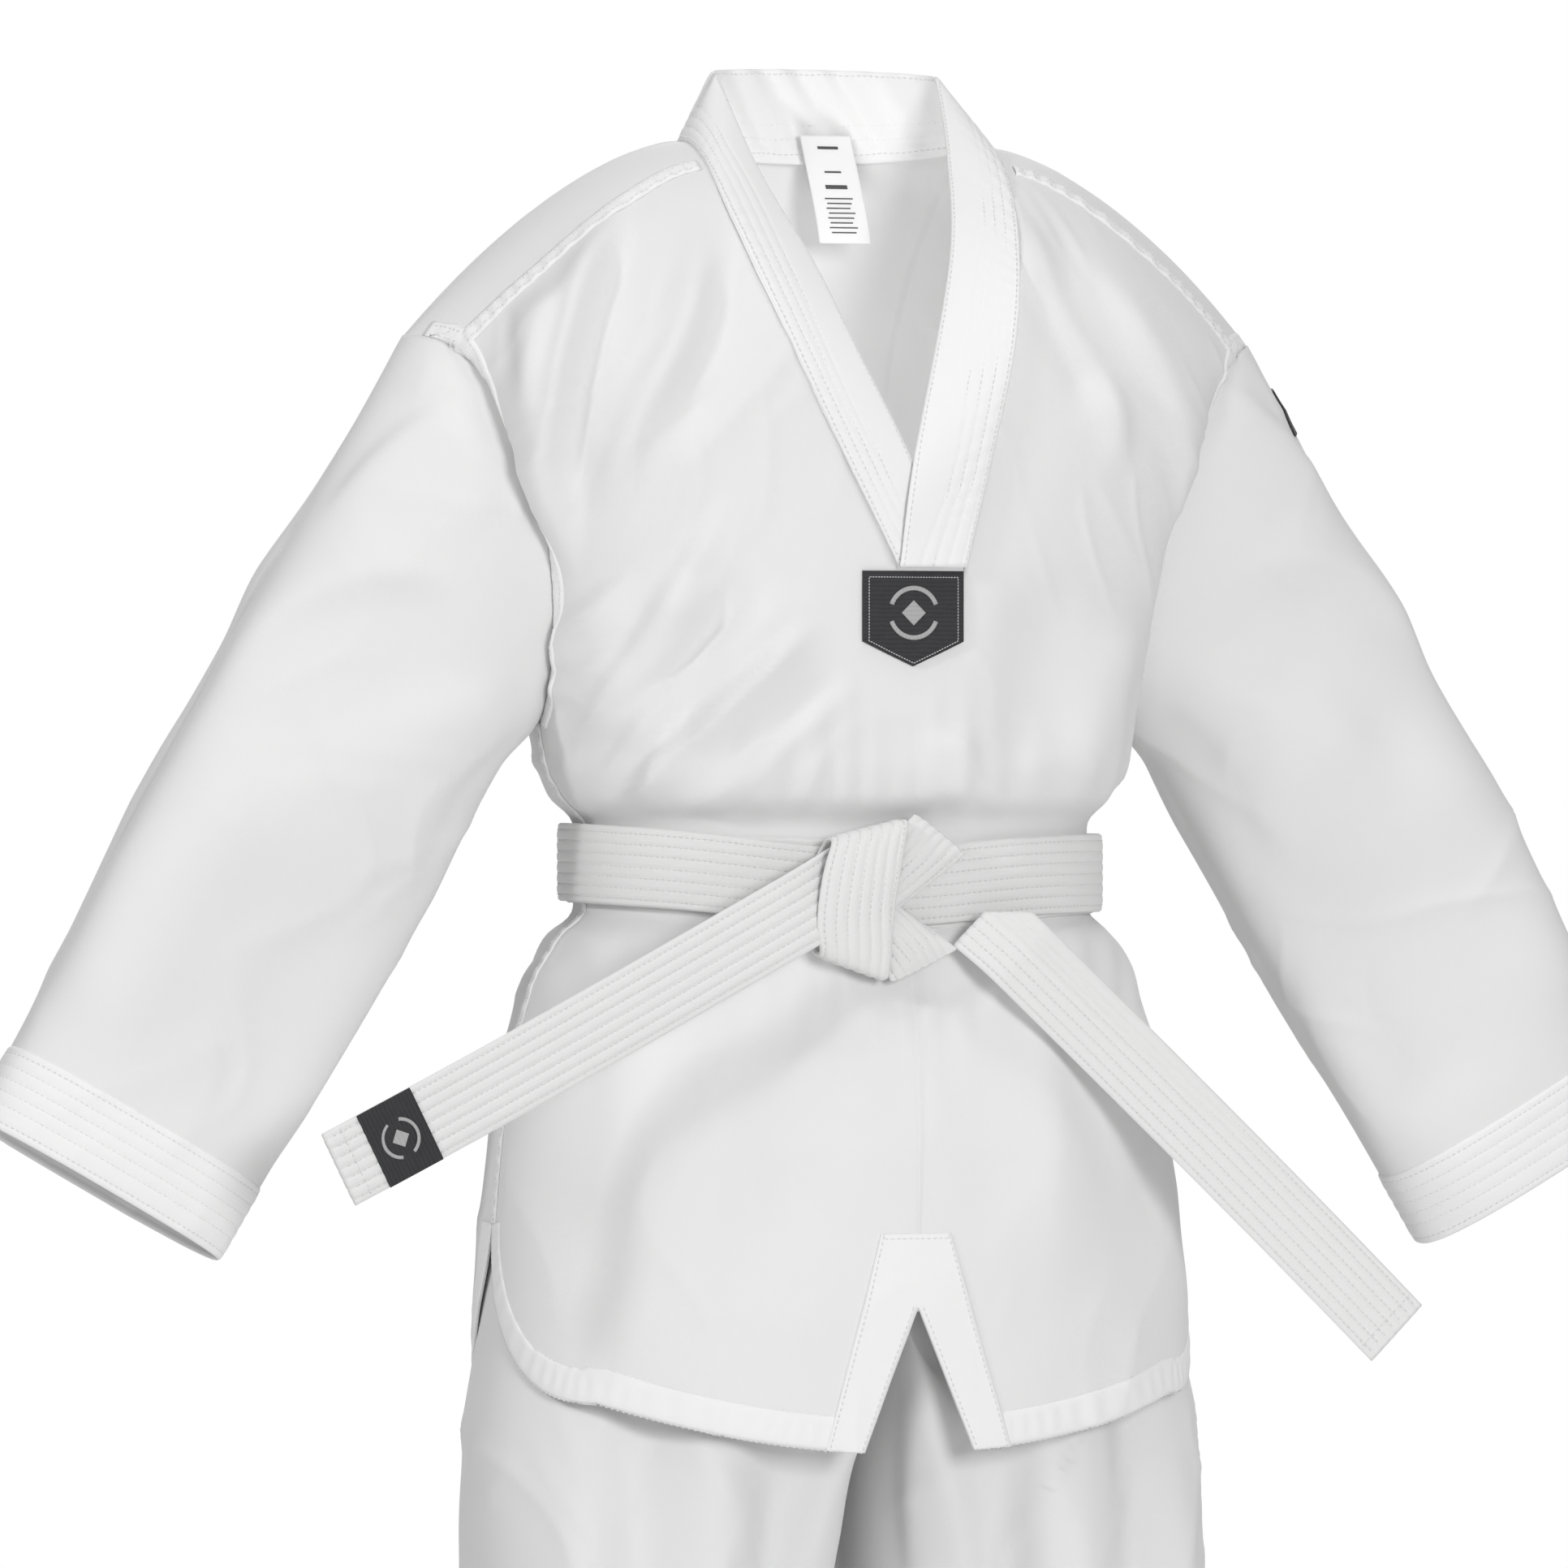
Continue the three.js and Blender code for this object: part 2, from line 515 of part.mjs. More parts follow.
const RING = 2 * UPPER_ROWS;
const ringTurns = Array.from({ length: RING }, (_, i) => (2 * Math.PI * i) / RING);

// armhole edge of both panels as one ring, moved along the sleeve by the seam gap
function armholeRing(side, layer) {
  const col = side > 0 ? BODY_COLS : 0;
  const front = panels.front[layer].slice(0, UPPER_ROWS + 1).map((row) => row[col]);
  const back = panels.back[layer].slice(1, UPPER_ROWS).map((row) => row[col]).reverse();
  return [...front, ...back].map((p) => p.clone().addScaledVector(sleeveDown(side), SEAM_GAP * 1.5));
}

// half a sleeve head, from the shoulder line to the underarm line; face is -1 in front, 1 behind
function sleeveHead(side, face) {
  const first = face < 0 ? 0 : RING / 2;
  const half = (ring) => steps(RING / 2).map((t) =>
    ring[(first + (t * RING) / 2) % RING].clone().add(vec(0, (face * SEAM_GAP) / 2, 0)));
  const make = (layer, wall) => {
    const start = half(armholeRing(side, layer));
    const end = half(ringTurns.map((turn) => bendPoint(side, SLEEVE_BEND_RADIUS - JOINT_GAP / 2, turn, wall)));
    return steps(3).map((t) => start.map((p, i) => p.clone().lerp(end[i], t)));
  };
  return shell(make('outer', 0), make('inner', CLOTH));
}

const SLEEVE_RING = 20;
const sleeveTurns = Array.from({ length: SLEEVE_RING }, (_, i) => (2 * Math.PI * i) / SLEEVE_RING);
const CUFF_START = CUFF_ALONG - CUFF_BAND;

function sleeve(side) {
  const make = (wall) => {
    const start = sleeveTurns.map((turn) => bendPoint(side, SLEEVE_BEND_RADIUS + JOINT_GAP / 2, turn, wall));
    const end = sleeveTurns.map((turn) => sleevePoint(side, CUFF_START - SEAM_GAP, turn, wall));
    return steps(3).map((t) => start.map((p, i) => p.clone().lerp(end[i], t)));
  };
  return shell(make(0), make(CLOTH), true);
}

function cuff(side) {
  const make = (wall) => [CUFF_START, CUFF_ALONG].map((along) =>
    sleeveTurns.map((turn) => sleevePoint(side, along, turn, wall)));
  return shell(make(-(CUFF_WALL - CLOTH) / 2), make((CUFF_WALL + CLOTH) / 2), true);
}

// small square badge on the outer side of the left sleeve, a flat plate off the cloth
function sleeveEmblem() {
  const out = TIP_OUT + SEAM_GAP + TRIM / 2 + EMBLEM_OFF;
  const along = sleeveDown(1).multiplyScalar(TIP_ALONG + EMBLEM_DROP);
  const centre = along.addScaledVector(sleeveOut(1), out);
  return new THREE.BoxGeometry(TRIM, EMBLEM_SIZE, EMBLEM_SIZE)
    .rotateY(-rad(SLEEVE_TILT))
    .translate(centre.x, centre.y, centre.z);
}

// ---------- belt ----------
const BELT_RING = 36;
const beltTurns = Array.from({ length: BELT_RING }, (_, i) => (2 * Math.PI * i) / BELT_RING);
function beltWrap(layer, tilt) {
  const base = BELT_FIT + layer * (BELT_WALL + SEAM_GAP);
  const make = (lift) => [1, -1].map((end) => beltTurns.map((turn) => {
    const depth = Math.sin(turn) < 0 ? WAIST[1] : WAIST[2];
    const x = (WAIST[0] + lift) * power(Math.cos(turn), ROUND);
    const y = (depth + lift) * power(Math.sin(turn), ROUND);
    return vec(x, y, BELT_Z + end * BELT_WIDTH / 2 - (tilt * x) / WAIST[0]);
  }));
  return shell(make(base + BELT_WALL), make(base), true);
}

const BELT_FRONT = -(WAIST[1] + BELT_FIT + 2 * BELT_WALL + 2 * SEAM_GAP);
const LOOP_MIDDLE = BELT_FRONT - SEAM_GAP - LOOP_DEPTH / 2;
const LOOP_RIGHT = KNOT_X - LOOP_WIDTH / 2;
const LOOP_LEFT = KNOT_X + LOOP_WIDTH / 2;

// the vertical loop of the knot: a flat oval ring of belt, open at its two sides
function knotLoop() {
  const ring = (margin) => steps(24).slice(1).map((t) => {
    const a = 2 * Math.PI * t;
    return [
      LOOP_MIDDLE + (LOOP_DEPTH / 2 - margin) * power(Math.sin(a), LOOP_ROUND),
      BELT_Z - KNOT_DROP + (LOOP_HEIGHT / 2 - margin) * power(Math.cos(a), LOOP_ROUND),
    ];
  });
  const solid = toSolid(prismX(ring(0), LOOP_RIGHT, LOOP_LEFT));
  const hole = prismX(ring(BELT_WALL), LOOP_RIGHT - CUT_PAST, LOOP_LEFT + CUT_PAST);
  return toGeometry(solid.subtract(toSolid(hole)));
}

// the flat fold that runs through the loop and fans out on its left side
function knotCore() {
  const [start, end] = [LOOP_RIGHT - CORE_PAST, LOOP_LEFT + CORE_REACH];
  return prismY([
    [start, BELT_Z - 36], [LOOP_LEFT, BELT_Z - 38], [end, BELT_Z - 22],
    [end, BELT_Z - 12], [LOOP_LEFT, BELT_Z + 4], [start, BELT_Z + 2],
  ], LOOP_MIDDLE - CORE_HALF, LOOP_MIDDLE + CORE_HALF);
}

// folded corners of belt beside the loop, above and below
function knotFold(up) {
  const start = LOOP_LEFT + 2;
  const [bend, end] = [start + 12, start + FOLD_REACH];
  const back = BELT_FRONT - SEAM_GAP - FOLD_BACK;
  const tip = [[start, BELT_Z + 9], [bend, BELT_Z + 24], [end, BELT_Z + 10], [end - 2, BELT_Z - 4]];
  const foot = [[start, BELT_Z - 44], [bend, BELT_Z - 60], [end - 2, BELT_Z - 46], [end - 2, BELT_Z - 30]];
  return prismY(up ? tip : foot, back - FOLD_WALL, back);
}

// a belt end: flat band with a round end about its hinge, leaning forward to its tip
function tailGeometry() {
  const half = BELT_WIDTH / 2;
  const round = steps(8).map((t) => {
    const a = Math.PI * t;
    return [half * Math.cos(a), half * Math.sin(a)];
  });
  return prismY([...round, [-half, -TAIL_LENGTH], [half, -TAIL_LENGTH]], -BELT_WALL / 2, BELT_WALL / 2);
}
const TAILS = {
  right: { side: -1, pivot: vec(LOOP_RIGHT - TAIL_ROOM - BELT_WIDTH / 2, TAIL_Y, BELT_Z - 26), swing: 63 },
  left: { side: 1, pivot: vec(LOOP_LEFT + FOLD_REACH + BELT_WIDTH / 2 + 0.5, TAIL_Y, BELT_Z - 48), swing: 45 },
};

function placeTail(geometry, tail) {
  return geometry.rotateX(-rad(TAIL_LEAN)).rotateY(-tail.side * rad(tail.swing))
    .translate(tail.pivot.x, tail.pivot.y, tail.pivot.z);
}

function beltPatch() {
  const box = new THREE.BoxGeometry(BADGE_SIDE, TRIM, BADGE_SIDE);
  const z = -TAIL_LENGTH + BADGE_FROM_END + BADGE_SIDE / 2;
  return placeTail(box.translate(0, -BELT_WALL / 2 - SEAM_GAP - TRIM / 2, z), TAILS.right);
}

// ---------- trousers ----------
const LOOP_POINTS = 28;
const loopTurns = Array.from({ length: LOOP_POINTS }, (_, i) => (2 * Math.PI * i) / LOOP_POINTS);

function seatRing(z, wall) {
  const [half, front, back] = section(SEAT_SECTIONS, z);
  return loopTurns.map((turn) => {
    const depth = (Math.sin(turn) < 0 ? front : back) - wall;
    return vec((half - wall) * power(Math.cos(turn), ROUND), depth * power(Math.sin(turn), ROUND), z);
  });
}

function waistband() {
  const heights = [TROUSER_TOP_Z, TROUSER_TOP_Z - WAISTBAND];
  const make = (wall) => heights.map((z) => seatRing(z, wall));
  return shell(make(0), make(WAISTBAND_WALL), true);
}

function seat() {
  const top = TROUSER_TOP_Z - WAISTBAND - SEAM_GAP;
  const rows = SEAT_SECTIONS.slice(2, -1).map((row) => row[0]);
  const make = (wall) => [top, ...rows, CROTCH_Z + SEAM_GAP].map((z) => seatRing(z, wall));
  return shell(make(0), make(CLOTH), true);
}

// point of a leg tube; turn 0 is the outer edge
function legPoint(side, z, turn, wall) {
  const [outer, inner, front, back] = section(LEG_SECTIONS, z);
  const t = Math.min(1, Math.max(0, (CROTCH_Z - z) / (CROTCH_Z - LEG_ROUND_Z)));
  const centre = lerp(inner + wall, (outer + inner) / 2, soft(t));
  const reach = Math.cos(turn) > 0 ? outer - wall - centre : centre - inner - wall;
  const depth = (Math.sin(turn) < 0 ? front : back) - wall;
  return vec(
    side * (centre + reach * power(Math.cos(turn), ROUND)),
    depth * power(Math.sin(turn), ROUND),
    z,
  );
}

// a leg point on the round bend surface about the hip axis
function legBend(side, radius, turn, wall) {
  const rough = LEG_BEND_Z - radius * Math.SQRT1_2;
  const y = legPoint(side, rough, turn, wall).y;
  const z = LEG_BEND_Z - Math.sqrt(radius ** 2 - y ** 2);
  const p = legPoint(side, z, turn, wall);
  return vec(p.x, y, z);
}

function thigh(side) {
  const make = (wall) => {
    const end = loopTurns.map((turn) => legBend(side, LEG_BEND_RADIUS - JOINT_GAP / 2, turn, wall));
    const rows = THIGH_ROWS.map((z) => loopTurns.map((turn) => legPoint(side, z, turn, wall)));
    return [...rows, end];
  };
  return shell(make(0), make(CLOTH), true);
}

function leg(side) {
  const make = (wall) => {
    const start = loopTurns.map((turn) => legBend(side, LEG_BEND_RADIUS + JOINT_GAP / 2, turn, wall));
    return [start, ...LEG_ROWS.map((z) => loopTurns.map((turn) => legPoint(side, z, turn, wall)))];
  };
  return shell(make(0), make(CLOTH), true);
}

function legHem(side) {
  const make = (wall) => [TROUSER_HEM_Z + LEG_HEM_BAND, TROUSER_HEM_Z].map((z) =>
    loopTurns.map((turn) => legPoint(side, z, turn, wall)));
  return shell(make(-LEG_HEM_EXTRA), make(CLOTH + LEG_HEM_EXTRA), true);
}

// ---------- finishes ----------
const cotton = new THREE.MeshStandardMaterial({ color: 0xe6e6e4, roughness: 0.95, metalness: 0 });
const ribbed = new THREE.MeshStandardMaterial({ color: 0xe9e9e7, roughness: 0.92, metalness: 0 });
const quilted = new THREE.MeshStandardMaterial({ color: 0xe4e4e2, roughness: 0.9, metalness: 0 });
const satin = new THREE.MeshStandardMaterial({ color: 0xf0f0f0, roughness: 0.5, metalness: 0 });
const embroidery = new THREE.MeshStandardMaterial({ color: 0x2c2c2e, roughness: 0.8, metalness: 0 });

// ---------- the uniform ----------
const group = new THREE.Group();
function add(name, geometry, material) {
  const mesh = new THREE.Mesh(geometry, material);
  mesh.name = name;
  group.add(mesh);
}

add('front_panel', frontPanel(), cotton);
add('back_panel', backPanel(), cotton);
add('collar_left_band', sheet(collarBand(LEFT_SEAM, LEFT_FREE, COLLAR_WALL + 1), COLLAR_WALL, 1), ribbed);
add('collar_right_band', sheet(collarBand(RIGHT_SEAM, RIGHT_FREE, 0), COLLAR_WALL, -1), ribbed);
add('collar_back_band', sheet(backCollar(), COLLAR_WALL, -1), ribbed);
add('slit_facing', slitFacing(), cotton);
add('chest_patch', chestPatch(), embroidery);
add('neck_label', neckLabel(), satin);
add('sleeve_emblem', sleeveEmblem(), embroidery);
for (const [name, side] of [['left', 1], ['right', -1]]) {
  add(`${name}_sleeve_head_front`, sleeveHead(side, -1), cotton);
  add(`${name}_sleeve_head_back`, sleeveHead(side, 1), cotton);
  add(`${name}_sleeve`, sleeve(side), cotton);
  add(`${name}_cuff`, cuff(side), ribbed);
}
add('belt_under_wrap', beltWrap(0, BELT_TILT), quilted);
add('belt_outer_wrap', beltWrap(1, 0), quilted);
add('belt_knot_loop', knotLoop(), quilted);
add('belt_knot_core', knotCore(), quilted);
add('belt_knot_upper_fold', knotFold(true), quilted);
add('belt_knot_lower_fold', knotFold(false), quilted);
for (const [name, tail] of Object.entries(TAILS)) {
  add(`belt_${name}_tail`, placeTail(tailGeometry(), tail), quilted);
}
add('belt_end_patch', beltPatch(), embroidery);
add('trouser_waistband', waistband(), ribbed);
add('trouser_seat', seat(), cotton);
for (const [name, side] of [['left', 1], ['right', -1]]) {
  add(`${name}_thigh`, thigh(side), cotton);
  add(`${name}_leg`, leg(side), cotton);
  add(`${name}_leg_hem`, legHem(side), cotton);
}

export default group;
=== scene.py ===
# %% [markdown]
# # Martial arts uniform
# A white pullover jacket with a V collar, a quilted belt in a square knot, and trousers, in worn shape.
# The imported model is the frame: it says where each piece lies. Every piece here is a fine surface
# that stands for one plain CAD solid, so it has to lie where that solid lies.

# %% Load the frame
import math

import bmesh
import bpy
import numpy as np
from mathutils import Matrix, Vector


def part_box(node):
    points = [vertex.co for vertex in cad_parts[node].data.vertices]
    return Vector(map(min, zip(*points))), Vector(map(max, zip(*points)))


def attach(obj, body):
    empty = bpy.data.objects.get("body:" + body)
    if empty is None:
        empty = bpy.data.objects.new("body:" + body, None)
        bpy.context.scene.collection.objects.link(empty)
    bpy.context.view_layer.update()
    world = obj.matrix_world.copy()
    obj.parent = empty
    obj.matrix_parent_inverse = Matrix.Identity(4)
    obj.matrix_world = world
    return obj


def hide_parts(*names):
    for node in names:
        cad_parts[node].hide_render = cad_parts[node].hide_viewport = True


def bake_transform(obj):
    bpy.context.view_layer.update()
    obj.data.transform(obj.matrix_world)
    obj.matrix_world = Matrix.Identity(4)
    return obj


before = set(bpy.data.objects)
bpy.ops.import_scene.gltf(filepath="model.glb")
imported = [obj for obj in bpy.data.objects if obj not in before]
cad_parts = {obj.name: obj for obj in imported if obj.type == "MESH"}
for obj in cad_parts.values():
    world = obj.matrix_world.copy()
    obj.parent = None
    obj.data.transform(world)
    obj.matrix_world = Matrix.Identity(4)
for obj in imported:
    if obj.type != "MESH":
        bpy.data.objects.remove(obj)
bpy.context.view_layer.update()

scene = bpy.context.scene

# %% [markdown]
# ## Camera and light
# White cloth on white needs almost even light, or its folds turn grey. A white world and a lamp near
# the camera give the even part, and the lamp also reaches in through the neck. One lamp far to the
# left rakes over the cloth and gives each fold a light and a dark side. A small lamp inside the
# jacket, hidden below the V, lights the nape from within. The camera has a long lens, so the uniform
# is seen almost without perspective.

# %% Camera
VIEW_TURN = math.radians(-18)
VIEW_CENTRE = (-0.024, 0.0078, -0.364)
VIEW_WIDTH = 0.8694
VIEW_DISTANCE = 6.0
SENSOR = 36.0

camera = bpy.data.objects.new("camera", bpy.data.cameras.new("camera"))
scene.collection.objects.link(camera)
camera.data.sensor_width = SENSOR
camera.data.lens = SENSOR * VIEW_DISTANCE / VIEW_WIDTH
camera.rotation_euler = (math.pi / 2, 0, VIEW_TURN)
camera.location = (
    VIEW_CENTRE[0] + VIEW_DISTANCE * math.sin(VIEW_TURN),
    VIEW_CENTRE[1] - VIEW_DISTANCE * math.cos(VIEW_TURN),
    VIEW_CENTRE[2],
)
scene.camera = camera
scene.view_settings.view_transform = "Standard"
print("camera lens", round(camera.data.lens), "mm")


# %% World and lamps
ROOM_LIGHT = 0.33
ROOM_SEEN = 1.0
LAMPS = {
    "lamp_left": {"place": (-3.2, -1.3, 1.2), "size": 0.4, "power": 31},
    "lamp_front": {"place": (0.2, -4.8, 0.3), "size": 1.2, "power": 101},
    "lamp_top": {"place": (0.1, -0.6, 2.4), "size": 0.8, "power": 16},
    "lamp_back": {"place": (0.8, 3.0, 1.4), "size": 2.0, "power": 55},
    "lamp_neck": {"place": (0.0, -0.06, -0.24), "size": 0.1, "power": 0.26, "aim": (0.02, 0.10, -0.06)},
}

world = bpy.data.worlds.new("white_room")
world.use_nodes = True
room = world.node_tree.nodes["Background"]
seen = world.node_tree.nodes.new("ShaderNodeLightPath")
strength = world.node_tree.nodes.new("ShaderNodeMapRange")
strength.inputs["To Min"].default_value = ROOM_LIGHT
strength.inputs["To Max"].default_value = ROOM_SEEN
world.node_tree.links.new(seen.outputs["Is Camera Ray"], strength.inputs["Value"])
world.node_tree.links.new(strength.outputs["Result"], room.inputs["Strength"])
room.inputs["Color"].default_value = (1, 1, 1, 1)
scene.world = world

for name, lamp in LAMPS.items():
    light = bpy.data.objects.new(name, bpy.data.lights.new(name, "AREA"))
    scene.collection.objects.link(light)
    light.data.energy = lamp["power"]
    light.data.size = lamp["size"]
    light.location = lamp["place"]
    aim = np.array(lamp.get("aim", VIEW_CENTRE)) - np.array(lamp["place"])
    light.rotation_euler = (
        math.acos(-aim[2] / np.linalg.norm(aim)), 0, math.atan2(-aim[0], aim[1]))
print(len(LAMPS), "lamps")


# %% [markdown]
# ## Shader arithmetic
# A material is a small sum written as nodes. Wrapping a socket in a class that knows + - * / lets the
# sum be read as one line of Python.

# %% Wire
class Wire:
    """One output socket of a material. Arithmetic on it adds Math nodes."""

    def __init__(self, tree, socket=None):
        self.tree = tree
        self.socket = socket

    def make(self, kind, settings=None, inputs=None, output=0):
        """A new node of a kind: its settings first, then the values or links of its sockets."""
        node = self.tree.nodes.new(kind)
        for name, value in (settings or {}).items():
            if name == "stops":
                for stop, (place, colour) in zip(node.color_ramp.elements, value):
                    stop.position = place
                    stop.color = colour
            else:
                setattr(node, name, value)
        for name, value in (inputs or {}).items():
            if isinstance(value, Wire):
                self.tree.links.new(value.socket, node.inputs[name])
            else:
                node.inputs[name].default_value = value
        return Wire(self.tree, node.outputs[output])

    def maths(self, operation, a, b=0.0):
        return self.make("ShaderNodeMath", {"operation": operation}, {0: a, 1: b})

    def __add__(self, other):
        return self.maths("ADD", self, other)

    def __sub__(self, other):
        return self.maths("SUBTRACT", self, other)

    def __rsub__(self, other):
        return self.maths("SUBTRACT", other, self)

    def __mul__(self, other):
        return self.maths("MULTIPLY", self, other)

    def __truediv__(self, other):
        return self.maths("DIVIDE", self, other)

    def sine(self):
        return self.maths("SINE", self)

    def size(self):
        return self.maths("ABSOLUTE", self)

    def blend(self, low, high):
        """The colour low where this is 0, high where it is 1."""
        return self.make("ShaderNodeMix", {"data_type": "RGBA"}, {0: self, 6: low, 7: high}, output=2)

    __radd__ = __add__
    __rmul__ = __mul__


# %% [markdown]
# ## Cloth
# The jacket and trousers are plain-woven cotton blend. Its threads are 0.6 mm apart, so
# close up they show as a fine check, and from afar only as a soft sheen. The check is bumps and
# painted shade: the colour is painted lighter on the thread crowns and darker between them. Thread
# positions come from each piece's own map, which is laid out in metres along the cloth. Slow noise
# makes the cloth a little uneven, as ironed cloth is.

# %% Cloth materials
# SHADE is the dark end of the cloth's tone: partly its own random unevenness, partly painted shade between
# the threads.
WHITE = (0.790, 0.790, 0.788, 1)
SHADE = (0.755, 0.755, 0.755, 1)


def start_material(name, roughness, sheen=0.0):
    """A new material, its wire, and its shader node."""
    material = bpy.data.materials.new(name)
    material.use_nodes = True
    shader = material.node_tree.nodes["Principled BSDF"]
    shader.inputs["Roughness"].default_value = roughness
    shader.inputs["Specular IOR Level"].default_value = 0.25
    shader.inputs["Sheen Weight"].default_value = sheen
    shader.inputs["Sheen Roughness"].default_value = 0.5
    return material, Wire(material.node_tree), shader


def join(wire, shader, **sockets):
    for name, value in sockets.items():
        wire.tree.links.new(value.socket, shader.inputs[name.replace("_", " ")])


def cloth_material(name, light, dark, pitch, twill=0.0, weave_height=0.00006, rough=0.85, sheen=0.12):
    """Woven cloth: height is the product of two sine waves a thread apart, leaning for a twill."""
    material, wire, shader = start_material(name, rough, sheen)
    place = wire.make("ShaderNodeUVMap", {"uv_map": "cloth"})
    across = wire.make("ShaderNodeSeparateXYZ", {}, {0: place})
    along = wire.make("ShaderNodeSeparateXYZ", {}, {0: place}, output=1)
    turns = 2 * math.pi / pitch
    warp = (across * turns + along * (turns * twill)).sine()
    weft = (along * turns - across * (turns * twill)).sine()
    threads = (warp * weft) * 0.5 + 0.5
    solid = wire.make("ShaderNodeTexCoord", {}, {}, output=3)
    patches = wire.make("ShaderNodeTexNoise", {}, {"Vector": solid, "Scale": 9.0, "Detail": 3.0})
    slubs = wire.make("ShaderNodeTexNoise", {}, {"Vector": solid, "Scale": 420.0, "Detail": 2.0})
    # Colour: the two noises are the cloth's own uneven tone; the thread term is painted shade, lighter on the
    # thread crowns and darker between the threads.
    tone = patches * 0.55 + slubs * 0.3 + threads * 0.15
    height = threads * weave_height + slubs * (weave_height * 0.8) + patches * 0.0006
    bump = wire.make("ShaderNodeBump", {}, {"Strength": 0.6, "Distance": 1.0, "Height": height})
    join(wire, shader, Base_Color=tone.blend(dark, light), Normal=bump,
         Roughness=rough - 0.08 + patches * 0.16)
    return material


cotton = cloth_material("cotton", WHITE, SHADE, 0.0006)
facing_cloth = cloth_material("facing_cloth", (0.86, 0.86, 0.857, 1), (0.83, 0.83, 0.83, 1), 0.0006, 0.5)
belt_cloth = cloth_material("belt_cloth", (0.79, 0.79, 0.785, 1), (0.75, 0.75, 0.748, 1), 0.0009, 1.0,
                            weave_height=0.00012, sheen=0.2)
elastic_cloth = cloth_material("elastic_cloth", WHITE, SHADE, 0.0012)
print("4 cloths")


# %% [markdown]
# ## Thread, badge and label
# The thread is a twisted, slightly shiny strand. Each stitch is a small body of its own, and a fine
# slanting wave across it gives the twist, as bumps and as painted highlight on the crowns with painted
# shade in the grooves. The badges are black embroidery: short satin stitches side by side, coloured
# with painted highlight on each ridge and painted shade between them. The label is woven satin.

# %% Thread, badge and label materials
def thread_material(name, light, dark, pitch=0.0009):
    """Twisted strand: a wave that runs aslant through space, with painted highlight on the crowns."""
    material, wire, shader = start_material(name, 0.55, 0.1)
    solid = wire.make("ShaderNodeTexCoord", {}, {}, output=3)
    x, y, z = (wire.make("ShaderNodeSeparateXYZ", {}, {0: solid}, output=i) for i in range(3))
    turns = 2 * math.pi / pitch
    twist = ((x + y * 0.7 + z) * turns).sine() * 0.5 + 0.5
    bump = wire.make("ShaderNodeBump", {}, {"Strength": 0.5, "Distance": 1.0, "Height": twist * 0.00008})
    # Painted highlight and shade: the colour follows the twist's height, light on the crowns and dark in the
    # grooves.
    join(wire, shader, Base_Color=twist.blend(dark, light), Normal=bump)
    return material


def badge_material(name, light, dark, pitch=0.0008):
    """Satin embroidery: narrow ridges side by side, broken by a slow wander."""
    material, wire, shader = start_material(name, 0.6, 0.15)
    place = wire.make("ShaderNodeUVMap", {"uv_map": "cloth"})
    across = wire.make("ShaderNodeSeparateXYZ", {}, {0: place})
    along = wire.make("ShaderNodeSeparateXYZ", {}, {0: place}, output=1)
    wander = wire.make("ShaderNodeTexNoise", {}, {"Vector": place, "Scale": 160.0, "Detail": 2.0})
    turns = 2 * math.pi / pitch
    ridge_wave = (across * turns + wander * 3.0).sine() * 0.5 + 0.5
    rows = (along * (turns / 3) + wander * 4.0).sine() * 0.5 + 0.5
    # The colour follows the stitches' height: painted highlight on the ridges and painted shade between them.
    tone = ridge_wave * 0.6 + rows * 0.4
    bump = wire.make("ShaderNodeBump", {}, {"Strength": 0.7, "Distance": 1.0, "Height": tone * 0.00015})
    join(wire, shader, Base_Color=tone.blend(dark, light), Normal=bump, Roughness=0.5 + wander * 0.3)
    return material


white_thread = thread_material("white_thread", (0.86, 0.86, 0.86, 1), (0.74, 0.74, 0.74, 1))
grey_thread = thread_material("grey_thread", (0.70, 0.70, 0.70, 1), (0.56, 0.56, 0.56, 1))
black_badge = badge_material("black_badge", (0.042, 0.042, 0.045, 1), (0.018, 0.018, 0.020, 1))
grey_badge = badge_material("grey_badge", (0.44, 0.44, 0.44, 1), (0.34, 0.34, 0.34, 1))
label_satin = cloth_material("label_satin", (0.88, 0.88, 0.88, 1), (0.84, 0.84, 0.84, 1), 0.0004, rough=0.5)
label_ink = thread_material("label_ink", (0.10, 0.10, 0.10, 1), (0.06, 0.06, 0.06, 1))
print("6 finishes")


# %% [markdown]
# ## From a grid to a piece
# Every piece is a grid of points worked out as one array. The grid's faces, its cloth map and the
# side that faces out are worked out the same way each time, so they live in three small functions.

# %% Making pieces
def grid_faces(rows, cols, wrap=False):
    """Four-sided faces between neighbouring grid points; wrap joins the last column to the first."""
    r, c = np.meshgrid(np.arange(rows - 1), np.arange(cols if wrap else cols - 1), indexing="ij")
    after = (c + 1) % cols
    return np.stack([r * cols + c, (r + 1) * cols + c, (r + 1) * cols + after, r * cols + after], -1)


def cloth_map(points):
    """Distances along the rows and down the columns of a grid, in metres."""
    across = np.linalg.norm(np.diff(points, axis=1), axis=2).cumsum(1)
    down = np.linalg.norm(np.diff(points, axis=0), axis=2).cumsum(0)
    u = np.concatenate([np.zeros((len(points), 1)), across], 1)
    v = np.concatenate([np.zeros((1, points.shape[1])), down], 0)
    middle = u[:, u.shape[1] // 2:u.shape[1] // 2 + 1]
    return np.stack([u - middle, v], -1).reshape(-1, 2)


def faces_out(points, faces):
    """The faces turned so that, taken together, they look away from the middle of the piece."""
    corners = points[faces]
    normal = np.cross(corners[:, 2] - corners[:, 0], corners[:, 3] - corners[:, 1])
    away = corners.mean(1) - points.mean(0)
    return faces if (normal * away).sum() > 0 else faces[:, ::-1]


